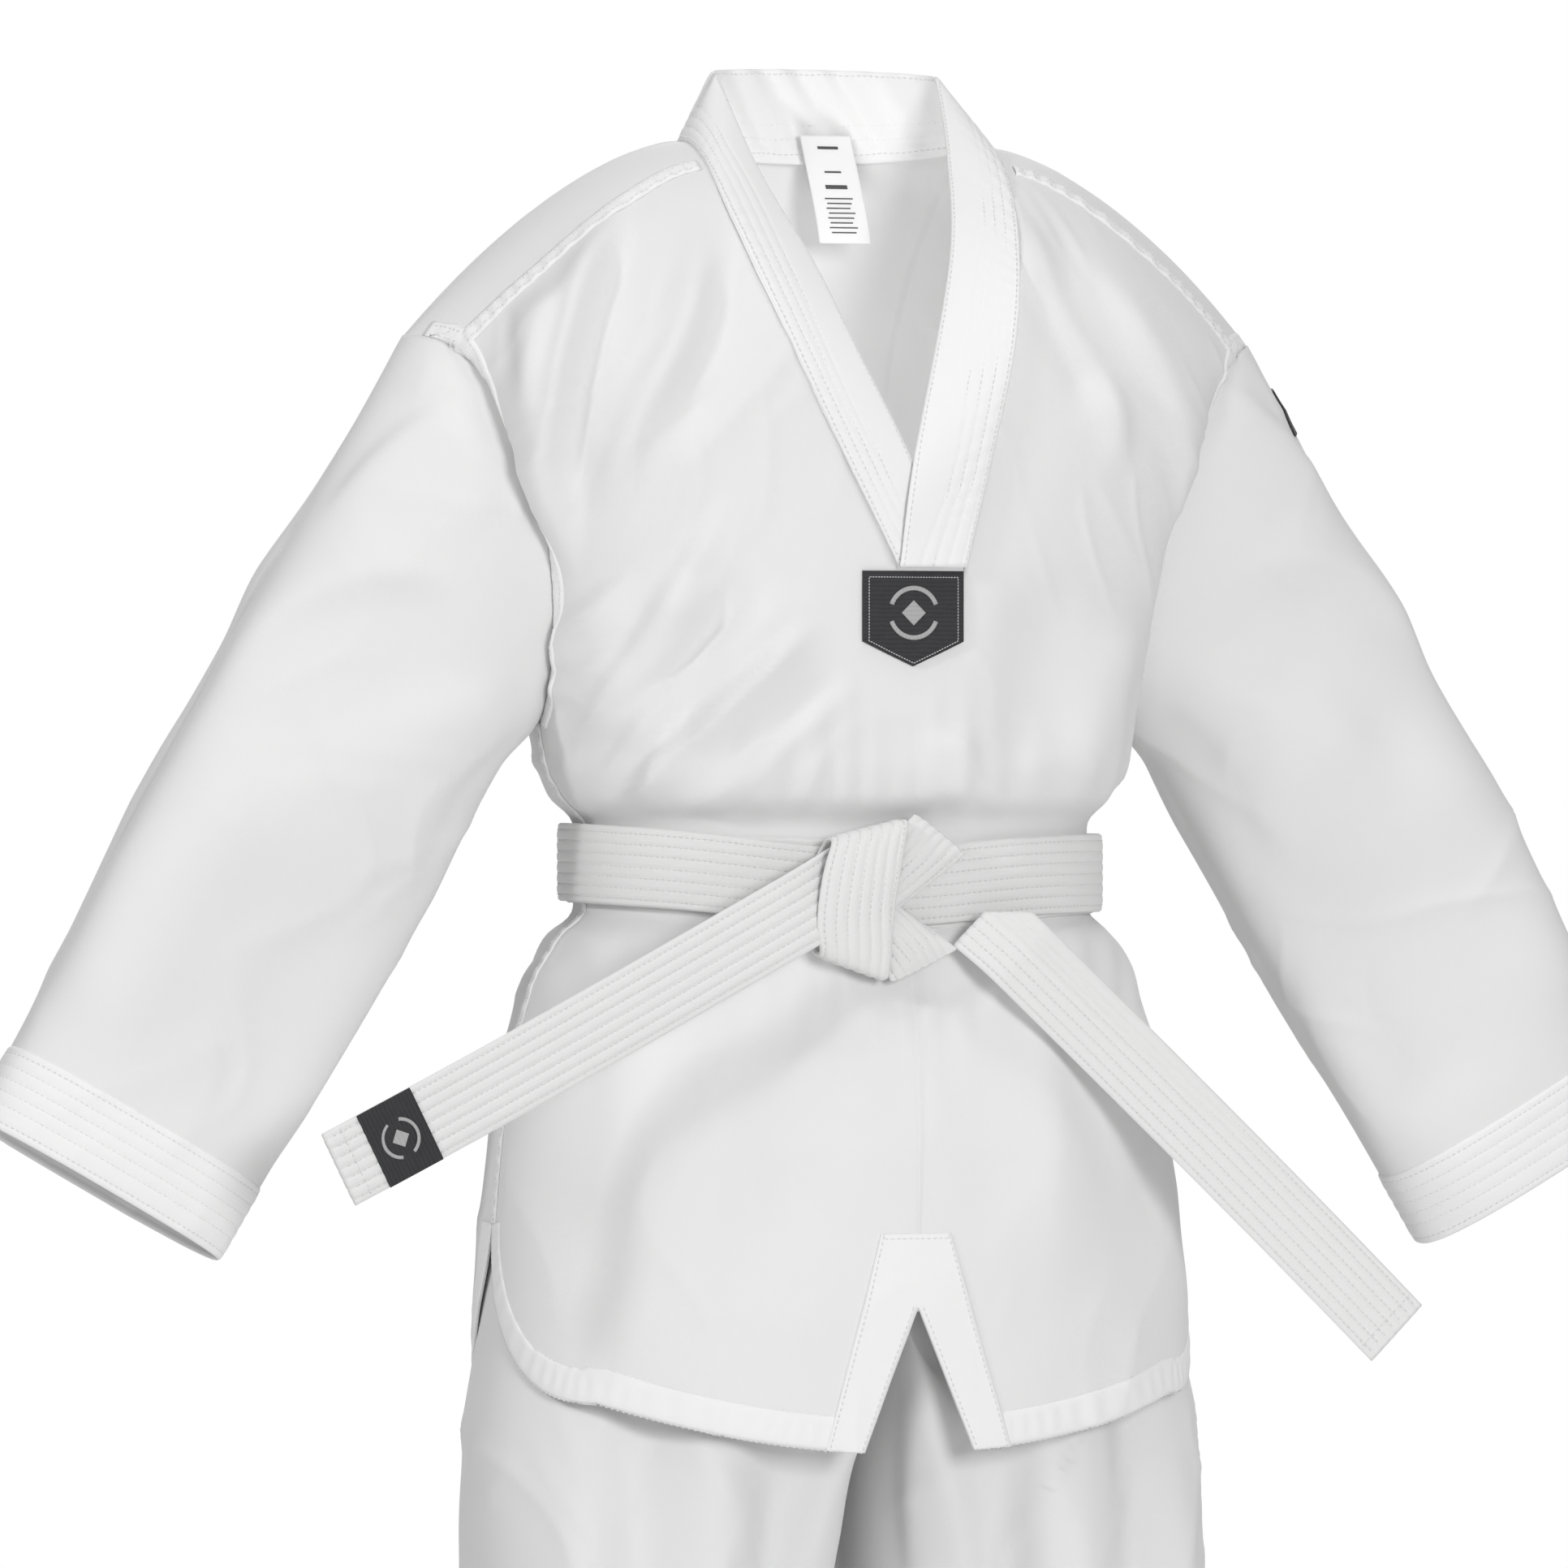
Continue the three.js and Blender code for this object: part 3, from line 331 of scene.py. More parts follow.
def faces_along(points, faces, normals):
    """The faces turned to look the way of the normals at their first corners."""
    corners = points[faces]
    toward = np.cross(corners[:, 2] - corners[:, 0], corners[:, 3] - corners[:, 1])
    return faces if (toward * normals[faces[:, 0]]).sum() >= 0 else faces[:, ::-1]


def add_piece(name, points, faces, material, uv=None, body=None, merge=0.0, wall=0.0):
    """A mesh object at the origin, with its cloth map, its finish and, if given, a wall and a body."""
    points = points.reshape(-1, 3)
    faces = np.asarray(faces).reshape(-1, np.asarray(faces).shape[-1])
    mesh = bpy.data.meshes.new(name)
    mesh.from_pydata(points.tolist(), [], faces.tolist())
    if uv is not None:
        layer = mesh.uv_layers.new(name="cloth")
        layer.data.foreach_set("uv", uv[faces.reshape(-1)].astype(np.float32).ravel())
    mesh.polygons.foreach_set("use_smooth", np.ones(len(faces), bool))
    mesh.materials.append(material)
    thing = bpy.data.objects.new(name, mesh)
    scene.collection.objects.link(thing)
    if merge:
        weld(mesh, merge)
    if wall:
        solid = thing.modifiers.new("wall", "SOLIDIFY")
        solid.thickness = wall
        solid.offset = -1
    if body:
        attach(thing, body)
    return thing


def weld(mesh, reach):
    """Points closer than reach become one, and faces that vanish are dropped."""
    work = bmesh.new()
    work.from_mesh(mesh)
    bmesh.ops.remove_doubles(work, verts=work.verts, dist=reach)
    work.to_mesh(mesh)
    work.free()


# %% [markdown]
# ## The jacket's body
# The jacket is two panels, front and back, sewn at the shoulders and sides. Each is one surface of two
# numbers: how far round the body (turn, from the right side seam to the left one) and how far down
# (level, 0 on the shoulder seam, 1 at the armpit, 2 at the hem). Cross-sections are ovals with
# squared sides, whose sizes come from a short table of heights.

# %% Body sizes
hem_low, ridge_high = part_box("front_panel")
HEM_Z = hem_low.z
NECK_HALF = 0.088
NECK_BACK = 0.050
NECK_SIDE_Z = -0.009
SHOULDER_HALF = 0.245
SHOULDER_DROP = 0.109
ARMHOLE_DEPTH = 0.052
ARMHOLE_CURVE = 2.2
ARMPIT_Z = -0.330
HEM_CORNER_RISE = 0.027
HEM_CORNER_X = 0.165
HEM_TURN_Z = HEM_Z + HEM_CORNER_RISE + 0.012
VENT_TOP_Z = -0.605
VENT_REACH = {-1: 0.096, 1: 0.072}
SLIT_X = 0.004
SLIT_TOP_Z = -0.648
SLIT_HALF = 0.032
BELT_Z = -0.410
BADGE_X = 0.008
BADGE_Z = -0.272
OVAL = 0.8

BODY_TABLE = np.array([
    (ARMPIT_Z, 0.170, 0.120, 0.104), (-0.357, 0.1655, 0.119, 0.102), (-0.3745, 0.155, 0.113, 0.099),
    (-0.3825, 0.143, 0.100, 0.092), (-0.4375, 0.143, 0.100, 0.092), (-0.4455, 0.157, 0.104, 0.098),
    (-0.470, 0.172, 0.108, 0.104), (-0.514, 0.185, 0.123, 0.113), (-0.560, 0.191, 0.133, 0.118),
    (-0.605, 0.195, 0.137, 0.122), (-0.650, 0.199, 0.140, 0.126), (HEM_Z, 0.200, 0.144, 0.130),
])


def rounded_table(table, reach):
    """The table's columns every half millimetre, averaged over a window so that no row shows."""
    height = np.arange(table[-1, 0], table[0, 0], 0.0005)
    window = np.hanning(int(reach / 0.0005))
    window /= window.sum()
    pad = len(window) // 2
    columns = [height]
    for column in table.T[1:]:
        line = np.pad(np.interp(height, table[::-1, 0], column[::-1]), pad, mode="edge")
        columns.append(np.convolve(line, window, "same")[pad:-pad])
    return np.array(columns)


body_table = rounded_table(BODY_TABLE, 0.020)


def unit(vectors):
    """The same directions, each one long."""
    return vectors / np.maximum(np.linalg.norm(vectors, axis=-1, keepdims=True), 1e-12)


def soft(t):
    """0 to 1 with level ends."""
    t = np.clip(t, 0, 1)
    return t * t * (3 - 2 * t)


def power(t, p):
    return np.sign(t) * np.abs(t) ** p


def ridge(x):
    """Height of the shoulder line over the distance from the middle."""
    out = np.abs(x)
    fall = np.clip((out - NECK_HALF) / (SHOULDER_HALF - NECK_HALF), 0, None)
    return NECK_SIDE_Z + 0.3 * np.clip(NECK_HALF - out, 0, None) - SHOULDER_DROP * fall ** 1.6


def hem_line(x):
    return HEM_Z + HEM_CORNER_RISE * np.clip(np.abs(x) / HEM_CORNER_X, 0, 1) ** 2


def body_point(face, turn, level):
    """x is the half width times the cosine of turn to the power 0.8, y the depth times the sine to
    the same power; above the armpits both open out to the armhole. face is -1 in front, 1 behind."""
    turn, level = np.broadcast_arrays(turn, level)
    v = np.clip(level, 0, 1)
    low = ARMPIT_Z + (HEM_Z - ARMPIT_Z) * np.clip(level - 1, 0, 1)
    depth_row = 2 if face < 0 else 3
    half = np.where(
        level <= 1,
        body_table[1, -1] + (SHOULDER_HALF - body_table[1, -1]) * (1 - v) ** ARMHOLE_CURVE,
        np.interp(low, body_table[0], body_table[1]),
    )
    swing = np.abs(np.sin(turn)) ** OVAL
    armhole = ARMHOLE_DEPTH * np.clip(1 - (2 * v - 1) ** 2, 0, 1) ** (0.5 + 1.5 * swing)
    chest = body_table[depth_row, -1] * np.sin(np.minimum(1, v / 0.45) * math.pi / 2) ** 0.5
    depth = np.where(
        level <= 1,
        armhole + np.clip(chest - armhole, 0, None) * swing,
        np.interp(low, body_table[0], body_table[depth_row]) * swing,
    )
    x = -power(np.cos(turn), OVAL) * half
    stretch = (hem_line(x) - HEM_TURN_Z) / (HEM_Z - HEM_TURN_Z)
    skirt = np.where(low > HEM_TURN_Z, low, HEM_TURN_Z + (low - HEM_TURN_Z) * stretch)
    z = np.where(level <= 1, ridge(x) + (ARMPIT_Z - ridge(x)) * v, skirt)
    return np.stack([x, face * depth, z], -1)


def body_place(x, z):
    """turn and level of the place on the body at x and z: the formulas above, solved backwards."""
    x, z = np.broadcast_arrays(np.asarray(x, float), np.asarray(z, float))
    v = np.clip((ridge(x) - z) / (ridge(x) - ARMPIT_Z), 0, 1)
    stretch = (hem_line(x) - HEM_TURN_Z) / (HEM_Z - HEM_TURN_Z)
    low = np.where(z > HEM_TURN_Z, z, HEM_TURN_Z + (z - HEM_TURN_Z) / stretch)
    level = np.where(z > ARMPIT_Z, v, 1 + (ARMPIT_Z - low) / (ARMPIT_Z - HEM_Z))
    half = np.where(
        z > ARMPIT_Z,
        body_table[1, -1] + (SHOULDER_HALF - body_table[1, -1]) * (1 - v) ** ARMHOLE_CURVE,
        np.interp(low, body_table[0], body_table[1]),
    )
    across = np.clip(np.abs(x) / half, 0, 1) ** (1 / OVAL)
    return np.arccos(np.clip(-np.sign(x) * across, -1, 1)), level


print("hem at", round(HEM_Z, 4), "shoulder at", round(ridge_high.z, 4))


# %% [markdown]
# ## Folds
# Thin cloth hangs in folds from where it is held: from the shoulder points, from the armpits and up
# from the belt. A fold is a raised line. On one side it falls off sharply, on the other it fades over
# a few centimetres. Each fold here is a line of a few points on the body and says how high, how wide
# and how sharp it is. Wide shallow folds use the same height on both sides.

# %% Fold heights
FOLD_STRENGTH = 2.3
ANY_PHASE = 6.3


def smooth_line(points, count=28):
    """A curve through the points: each stretch is a cubic that leaves and meets its neighbours level."""
    points = np.asarray(points, float)
    whole = np.vstack([2 * points[0] - points[1], points, 2 * points[-1] - points[-2]])
    t = np.linspace(0, len(points) - 1, count)
    i = np.minimum(t.astype(int), len(points) - 2)
    f = (t - i)[:, None]
    a, b, c, d = (whole[i + k] for k in range(4))
    return 0.5 * (2 * b + (c - a) * f + (2 * a - 5 * b + 4 * c - d) * f ** 2
                  + (3 * b - a - 3 * c + d) * f ** 3)


def nearest_on(line, places):
    """For each place: distance to a flat line, which side it is on, and how far along the line."""
    start, step = line[:-1], np.diff(line, axis=0)
    away = places[:, None, :] - start[None]
    t = np.clip((away * step).sum(2) / (step ** 2).sum(1), 0, 1)
    gap = away - t[..., None] * step
    square = (gap ** 2).sum(2)
    best = square.argmin(1)
    pick = np.arange(len(places))
    side = np.sign(step[best, 0] * gap[pick, best, 1] - step[best, 1] * gap[pick, best, 0])
    return np.sqrt(square[pick, best]), side, (best + t[pick, best]) / len(step)


def fold(places, line, height, width, sharp, steep_side=1, ends=(0.25, 0.35)):
    """Height of one fold. Across it: an exponential fall over `width` on the open side, a step over
    `sharp` on the steep side with a shallow valley beyond. Along it: soft start and end."""
    gap, side, along = nearest_on(smooth_line(line), places)
    d = gap * side * -steep_side
    crest = 1 / (1 + np.exp(-np.clip(d / sharp, -30, 30)))
    shape = crest * np.exp(-np.clip(d, 0, None) / width)
    valley = (1 - crest) * np.exp(-np.clip(-d, 0, None) / (width * 0.8))
    taper = soft(along / ends[0]) * soft((1 - along) / ends[1])
    return height * taper * (shape - 0.4 * valley)


def soft_fold(places, line, height, width, ends=(0.3, 0.3)):
    """A round fold: a bell curve across, soft ends along."""
    gap, side, along = nearest_on(smooth_line(line), places)
    return height * np.exp(-(gap / width) ** 2) * soft(along / ends[0]) * soft((1 - along) / ends[1])


def hand_folds(places, sharp_folds, soft_folds, blunt=0.0):
    """All folds of two lists added up; blunt widens the steps of the sharp ones."""
    total = np.zeros(len(places))
    for line, height, width, sharp, steep_side in sharp_folds:
        total += FOLD_STRENGTH * fold(places, line, height, width, sharp + blunt, steep_side)
    for line, height, width in soft_folds:
        total += FOLD_STRENGTH * soft_fold(places, line, height, width)
    return total


def unrest(places, seed, spacing, height):
    """Slow uneven swell: a few dozen sine waves with chosen random directions and phases."""
    rng = np.random.default_rng(seed)
    turn = rng.uniform(0, 2 * math.pi, 24)
    wave = 2 * math.pi / (spacing * rng.uniform(0.7, 1.6, 24))
    phase = rng.uniform(0, 2 * math.pi, 24)
    along = places[:, :1] * np.cos(turn) + places[:, 1:2] * np.sin(turn)
    return height * np.sin(along * wave + phase).mean(1) * 2


def creases(places, seed, lean, spacing, height, spread=0.3):
    """Thin cloth's creases: eight families of ridges about one direction, lean (0 runs along the
    second number of a place), the same way out from the middle on both sides. A ridge is (1 - |sin|)
    to the power 4. Each family has slowly wandering lines and shows only in its own patches."""
    rng = np.random.default_rng(seed)
    total = np.zeros(len(places))
    aside = np.hypot(places[:, 0], 0.03)
    for _ in range(8):
        angle = lean + rng.normal() * spread
        across = aside * math.cos(angle) + places[:, 1] * math.sin(angle)
        down = places[:, 1] * math.cos(angle) - aside * math.sin(angle)
        wander = 0.9 * np.sin(down * rng.uniform(9, 22) + rng.uniform(0, ANY_PHASE)) \
            + 0.5 * np.sin(down * rng.uniform(24, 48) + across * 12 + rng.uniform(0, ANY_PHASE))
        phase = across * math.pi / (spacing * rng.uniform(0.7, 1.5)) + wander + rng.uniform(0, ANY_PHASE)
        ridges = (1 - np.abs(np.sin(phase))) ** 4
        patch = np.sin(places @ rng.normal(0, 16, 2) + rng.uniform(0, ANY_PHASE)) \
            + np.sin(places @ rng.normal(0, 24, 2) + rng.uniform(0, ANY_PHASE))
        total += ridges * soft((patch - 0.3) / 1.4)
    return total * height


# %% [markdown]
# ### Where the folds run
# The front folds were placed one by one: pleats from the shoulder point past the armpit, creases out of
# the armpit, long soft drapes across the chest to the belt, and short ones where the belt gathers the
# cloth. The back has a matching but quieter set.

# %% Front and back folds
FOLD_BLUNT = 0.001
SHARP_FOLDS = {
    -1: [
        ([(-0.120, -0.024), (-0.150, -0.077), (-0.171, -0.129), (-0.178, -0.175), (-0.174, -0.216),
          (-0.168, -0.255)], 0.0110, 0.018, 0.0010, 1),
        ([(-0.172, -0.092), (-0.184, -0.123), (-0.188, -0.150), (-0.184, -0.180)],
         0.0045, 0.010, 0.0012, 1),
        ([(-0.045, -0.268), (-0.090, -0.311), (-0.127, -0.349), (-0.150, -0.380)],
         0.0065, 0.016, 0.0010, -1),
        ([(-0.070, -0.262), (-0.112, -0.300), (-0.142, -0.340), (-0.158, -0.374)],
         0.0048, 0.014, 0.0012, -1),
        ([(-0.020, -0.300), (-0.066, -0.338), (-0.098, -0.362), (-0.120, -0.382)],
         0.0038, 0.014, 0.0014, -1),
        ([(-0.092, -0.200), (-0.122, -0.250), (-0.145, -0.300), (-0.158, -0.340)],
         0.0040, 0.014, 0.0014, -1),
        ([(-0.197, -0.096), (-0.196, -0.128), (-0.192, -0.158)], 0.0030, 0.009, 0.0020, -1),
        ([(-0.182, -0.305), (-0.174, -0.285), (-0.160, -0.263), (-0.140, -0.245)],
         0.0050, 0.010, 0.0020, 1),
        ([(-0.176, -0.318), (-0.162, -0.300), (-0.140, -0.285)], 0.0040, 0.010, 0.0020, 1),
        ([(0.105, -0.056), (0.138, -0.109), (0.165, -0.154), (0.178, -0.190), (0.181, -0.225),
          (0.176, -0.262)], 0.0050, 0.018, 0.0030, -1),
    ],
    1: [
        ([(-0.140, -0.050), (-0.160, -0.100), (-0.176, -0.155), (-0.182, -0.215)],
         0.0050, 0.016, 0.0025, 1),
        ([(0.140, -0.050), (0.160, -0.100), (0.176, -0.155), (0.182, -0.215)], 0.0050, 0.016, 0.0025, -1),
        ([(-0.100, -0.330), (-0.112, -0.378)], 0.0035, 0.012, 0.0020, -1),
        ([(0.060, -0.320), (0.055, -0.378)], 0.0035, 0.012, 0.0020, 1),
    ],
}
SOFT_FOLDS = {
    -1: [
        ([(-0.097, -0.051), (-0.116, -0.112), (-0.147, -0.173), (-0.163, -0.225)], 0.0035, 0.010),
        ([(-0.080, -0.060), (-0.100, -0.125), (-0.128, -0.190)], -0.0030, 0.013),
        ([(0.077, -0.025), (0.095, -0.095), (0.127, -0.155), (0.135, -0.200)], 0.0030, 0.010),
        ([(-0.112, -0.245), (-0.126, -0.290), (-0.146, -0.350)], 0.0045, 0.016),
        ([(-0.085, -0.245), (-0.105, -0.290), (-0.132, -0.340)], -0.0035, 0.014),
        ([(-0.060, -0.250), (-0.085, -0.300), (-0.110, -0.350)], 0.0030, 0.020),
        ([(-0.155, -0.250), (-0.152, -0.300), (-0.150, -0.360)], 0.0030, 0.014),
        ([(0.080, -0.070), (0.105, -0.120), (0.125, -0.160)], -0.0030, 0.014),
        ([(0.150, -0.260), (0.130, -0.320), (0.118, -0.370)], 0.0035, 0.018),
        ([(0.095, -0.240), (0.080, -0.310), (0.072, -0.370)], -0.0025, 0.022),
        ([(0.030, -0.330), (0.035, -0.380)], 0.0025, 0.014),
        ([(-0.130, -0.450), (-0.140, -0.540), (-0.150, -0.640)], 0.0040, 0.022),
        ([(-0.060, -0.450), (-0.066, -0.540), (-0.070, -0.660)], -0.0028, 0.030),
        ([(0.075, -0.450), (0.085, -0.540), (0.095, -0.650)], 0.0035, 0.026),
        ([(0.140, -0.450), (0.155, -0.540), (0.165, -0.640)], -0.0030, 0.022),
    ],
    1: [
        ([(-0.080, -0.090), (-0.100, -0.200), (-0.095, -0.320)], 0.0045, 0.026),
        ([(0.080, -0.090), (0.095, -0.200), (0.085, -0.320)], 0.0045, 0.026),
        ([(0.0, -0.150), (-0.010, -0.250), (-0.020, -0.350)], -0.0040, 0.030),
        ([(-0.110, -0.450), (-0.125, -0.560), (-0.135, -0.680)], 0.0055, 0.022),
        ([(-0.045, -0.450), (-0.050, -0.560), (-0.055, -0.700)], -0.0045, 0.026),
        ([(0.040, -0.450), (0.045, -0.560), (0.050, -0.700)], 0.0055, 0.024),
        ([(0.115, -0.450), (0.130, -0.560), (0.140, -0.680)], -0.0045, 0.022),
    ],
}


GATHER_PITCH = 0.021
GATHER_HEIGHT = 0.0012


def body_relief(face, point, turn):
    """Height of the cloth over the plain body: all folds and a slow swell, none at the seams, under
    the belt and under the badge, which hold the cloth flat."""
    flat = point.reshape(-1, 3)
    places = flat[:, [0, 2]]
    total = unrest(places, 5 + face, 0.16, 0.0022) + unrest(places, 15 + face, 0.05, 0.0005)
    total += hand_folds(places, SHARP_FOLDS[face], SOFT_FOLDS[face], FOLD_BLUNT)
    chest = soft((places[:, 1] - BELT_Z) / 0.05)
    total = total + chest * creases(places, 71 + face, 0.45, 0.045, 0.0015, 0.25)
    total = total + (1 - chest) * creases(places, 81 + face, 0.0, 0.070, 0.0012, 0.20)
    near_belt = np.exp(-((places[:, 1] - BELT_Z) / 0.075) ** 2)
    gathers = np.sin(places[:, 0] * 2 * math.pi / GATHER_PITCH + 3 * np.sin(places[:, 0] * 31))
    total = total + near_belt * GATHER_HEIGHT * gathers
    under_belt = soft((np.abs(places[:, 1] - BELT_Z) - 0.024) / 0.022)
    at_seam = soft(np.minimum(turn, math.pi - turn).reshape(-1) / 0.12)
    at_shoulder = 0.08 + 0.92 * soft((ridge(places[:, 0]) - places[:, 1] - 0.012) / 0.045)
    badge = np.hypot((places[:, 0] - BADGE_X) / 0.9, places[:, 1] - BADGE_Z)
    at_badge = soft((badge - 0.030) / 0.030)
    return (total * under_belt * at_seam * at_shoulder * at_badge).reshape(point.shape[:-1])


def body_skin(face, turn, level, lift=0.0):
    """Points of the folded cloth and the directions that stand square on the body there."""
    turn, level = np.broadcast_arrays(np.asarray(turn, float), np.asarray(level, float))
    step = 2e-3
    point = body_point(face, turn, level)
    across = body_point(face, np.clip(turn + step, 0, math.pi), level) \
        - body_point(face, np.clip(turn - step, 0, math.pi), level)
    down = body_point(face, turn, np.clip(level + step, 0, 2)) \
        - body_point(face, turn, np.clip(level - step, 0, 2))
    normal = unit(-face * np.cross(down, across))
    height = body_relief(face, point, turn) + lift
    return point + normal * height[..., None], normal


# %% [markdown]
# ### Front panel
# The front has a V cut out at the neck, a slit at the hem and rounded corners at the side vents. One
# grid makes all three: its columns bunch up along the cut lines, and the columns between the two
# sides of the V and of the slit carry no faces. So the cloth's edge follows each cut exactly.

# %% Front panel
LEFT_SEAM = [(0.088, -0.009), (0.079, -0.064), (0.066, -0.132), (0.038, -0.246)]
RIGHT_SEAM = [(-0.088, -0.009), (-0.082, -0.060), (-0.057, -0.132), (0.0, -0.246)]
COLLAR_END_Z = -0.246
PANEL_ROWS = 230
PANEL_SIDE_COLS = 92
PANEL_MIDDLE_COLS = 8
PANEL_WALL = 0.0012
SEAM_GAP = 2e-5


def cut_line(side, seam):
    """turn over level down one side: along the collar seam, to the slit's top, down the slit."""
    slope = SLIT_HALF / (SLIT_TOP_Z - HEM_Z)
    low = HEM_Z - 0.002
    tail = [(SLIT_X + side * 0.0001, SLIT_TOP_Z), (SLIT_X + side * slope * (SLIT_TOP_Z - low), low)]
    curve = smooth_line(seam, 80)
    straight = np.linspace(curve[-1], tail[0], 40)[1:]
    slit = np.linspace(tail[0], tail[1], 30)[1:]
    x, z = np.vstack([curve, straight, slit]).T
    turn, level = body_place(x, z)
    order = np.maximum.accumulate(level)
    return turn, order


def vent_line(face):
    """turn over level where the rounded corner starts: forward reach grows like 1 - cos."""
    a = np.linspace(0, math.pi / 2, 60)
    y = VENT_REACH[face] * (1 - np.cos(a)) ** 0.8
    z = VENT_TOP_Z - (VENT_TOP_Z - HEM_Z - HEM_CORNER_RISE) * np.sin(a)
    row = 2 if face < 0 else 3
    depth = np.interp(z, body_table[0], body_table[row])
    turn = np.arcsin(np.clip(y / depth, 0, 1) ** (1 / OVAL))
    x = np.cos(turn) ** OVAL * np.interp(z, body_table[0], body_table[1])
    level = body_place(x, z)[1]
    level[-1] = 2.0
    return turn, np.maximum.accumulate(level)


def panel_levels(count):
    """Levels from shoulder to hem, closer together near the shoulder seam, where the cloth turns."""
    t = np.linspace(0, 1, count)
    upper = int(count * 0.44)
    return np.concatenate([np.linspace(0, 1, upper) ** 1.15, 1 + np.linspace(0, 1, count - upper + 1)[1:]])


def columns_between(a, b, count, ease=0.0):
    t = np.linspace(0, 1, count)
    t = t + ease * np.sin(2 * math.pi * t) / (2 * math.pi)
    return a[:, None] + (b - a)[:, None] * t[None]


def front_panel():
    levels = panel_levels(PANEL_ROWS)
    right_turn, right_level = cut_line(-1, RIGHT_SEAM)
    left_turn, left_level = cut_line(1, LEFT_SEAM)
    vent_turn, vent_level = vent_line(-1)
    start = np.interp(levels, vent_level, vent_turn, left=0)
    first = np.interp(levels, right_level, right_turn)
    second = np.interp(levels, left_level, left_turn)
    turns = np.concatenate([
        columns_between(start, first, PANEL_SIDE_COLS),
        columns_between(first, second, PANEL_MIDDLE_COLS),
        columns_between(second, math.pi - start, PANEL_SIDE_COLS),
    ], 1)
    points, normals = body_skin(-1, turns, levels[:, None] + 0 * turns)
    faces = grid_faces(*turns.shape)
    middle = slice(PANEL_SIDE_COLS - 1, PANEL_SIDE_COLS + PANEL_MIDDLE_COLS)
    heights = points[:-1, PANEL_SIDE_COLS, 2]
    open_rows = (heights > COLLAR_END_Z) | (heights < SLIT_TOP_Z)
    keep = np.ones(faces.shape[:2], bool)
    keep[open_rows, middle] = False
    uv = cloth_map(points)
    return points.reshape(-1, 3), faces[keep], uv


points, faces, uv = front_panel()
front_cloth = add_piece("front_panel_cloth", points, faces_out(points, faces), cotton,
                        uv, "jacket", merge=SEAM_GAP, wall=PANEL_WALL)
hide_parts("front_panel")
print("front panel", len(faces), "faces")


# %% [markdown]
# ### Back panel
# The back hangs lower behind the neck. Its top edge follows the round neck hole, so the first row of
# the grid starts there instead of on the shoulder seam, and the rows even out further down.

# %% Back panel
EVEN_LEVEL = 0.35


def back_panel():
    levels = panel_levels(PANEL_ROWS)
    vent_turn, vent_level = vent_line(1)
    start = np.interp(levels, vent_level, vent_turn, left=0)
    turns = columns_between(start, math.pi - start, 2 * PANEL_SIDE_COLS)
    x = -power(np.cos(turns[0]), OVAL) * SHOULDER_HALF
    trial = np.linspace(0, 0.6, 400)[:, None]
    ring = body_point(1, turns[0][None], trial)
    outside = (ring[..., 0] / NECK_HALF) ** 2 + (ring[..., 1] / NECK_BACK) ** 2 >= 1
    first = trial[np.argmax(outside, 0), 0] * (np.abs(x) < 2 * NECK_HALF)
    level = levels[:, None]
    near_neck = first[None] + (EVEN_LEVEL - first[None]) * level / EVEN_LEVEL
    shifted = np.where(level < EVEN_LEVEL, near_neck, level + 0 * turns)
    points, normals = body_skin(1, turns, shifted)
    return points, cloth_map(points)


points, uv = back_panel()
faces = grid_faces(*points.shape[:2]).reshape(-1, 4)
flat_points = points.reshape(-1, 3)
back_cloth = add_piece("back_panel_cloth", flat_points, faces_out(flat_points, faces), cotton,
                       uv, "jacket", merge=SEAM_GAP, wall=PANEL_WALL)
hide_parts("back_panel")
print("back panel", len(faces), "faces")


# %% [markdown]
# ## Sleeves
# A sleeve is one tube of cloth from the armhole to the cuff. Its ring of points starts on the armhole
# edge of the two panels and turns into the sleeve's own flat oval a little past the armpit.

# %% Sleeve shape
SLEEVE_TILT = math.radians(30)
SLEEVE_LENGTH = 0.491
SLEEVE_HALF = (0.082, 0.078)
SLEEVE_DEPTH = (0.052, 0.034)
CUFF_BAND = 0.045
SLEEVE_ROWS = 150
SLEEVE_COLS = 128


def sleeve_axes(side):
    down = np.array([side * math.sin(SLEEVE_TILT), 0, -math.cos(SLEEVE_TILT)])
    out = np.array([side * math.cos(SLEEVE_TILT), 0, math.sin(SLEEVE_TILT)])
    return down, out


tip = np.array([SHOULDER_HALF, 0, NECK_SIDE_Z - SHOULDER_DROP])
armpit = np.array([body_table[1, -1], 0, ARMPIT_Z])
TIP_ALONG, TIP_OUT = (float(tip @ axis) for axis in sleeve_axes(1))
ARMPIT_ALONG = float(armpit @ sleeve_axes(1)[0])
AXIS_OUT = TIP_OUT - SLEEVE_HALF[0]
CUFF_ALONG = TIP_ALONG + SLEEVE_LENGTH

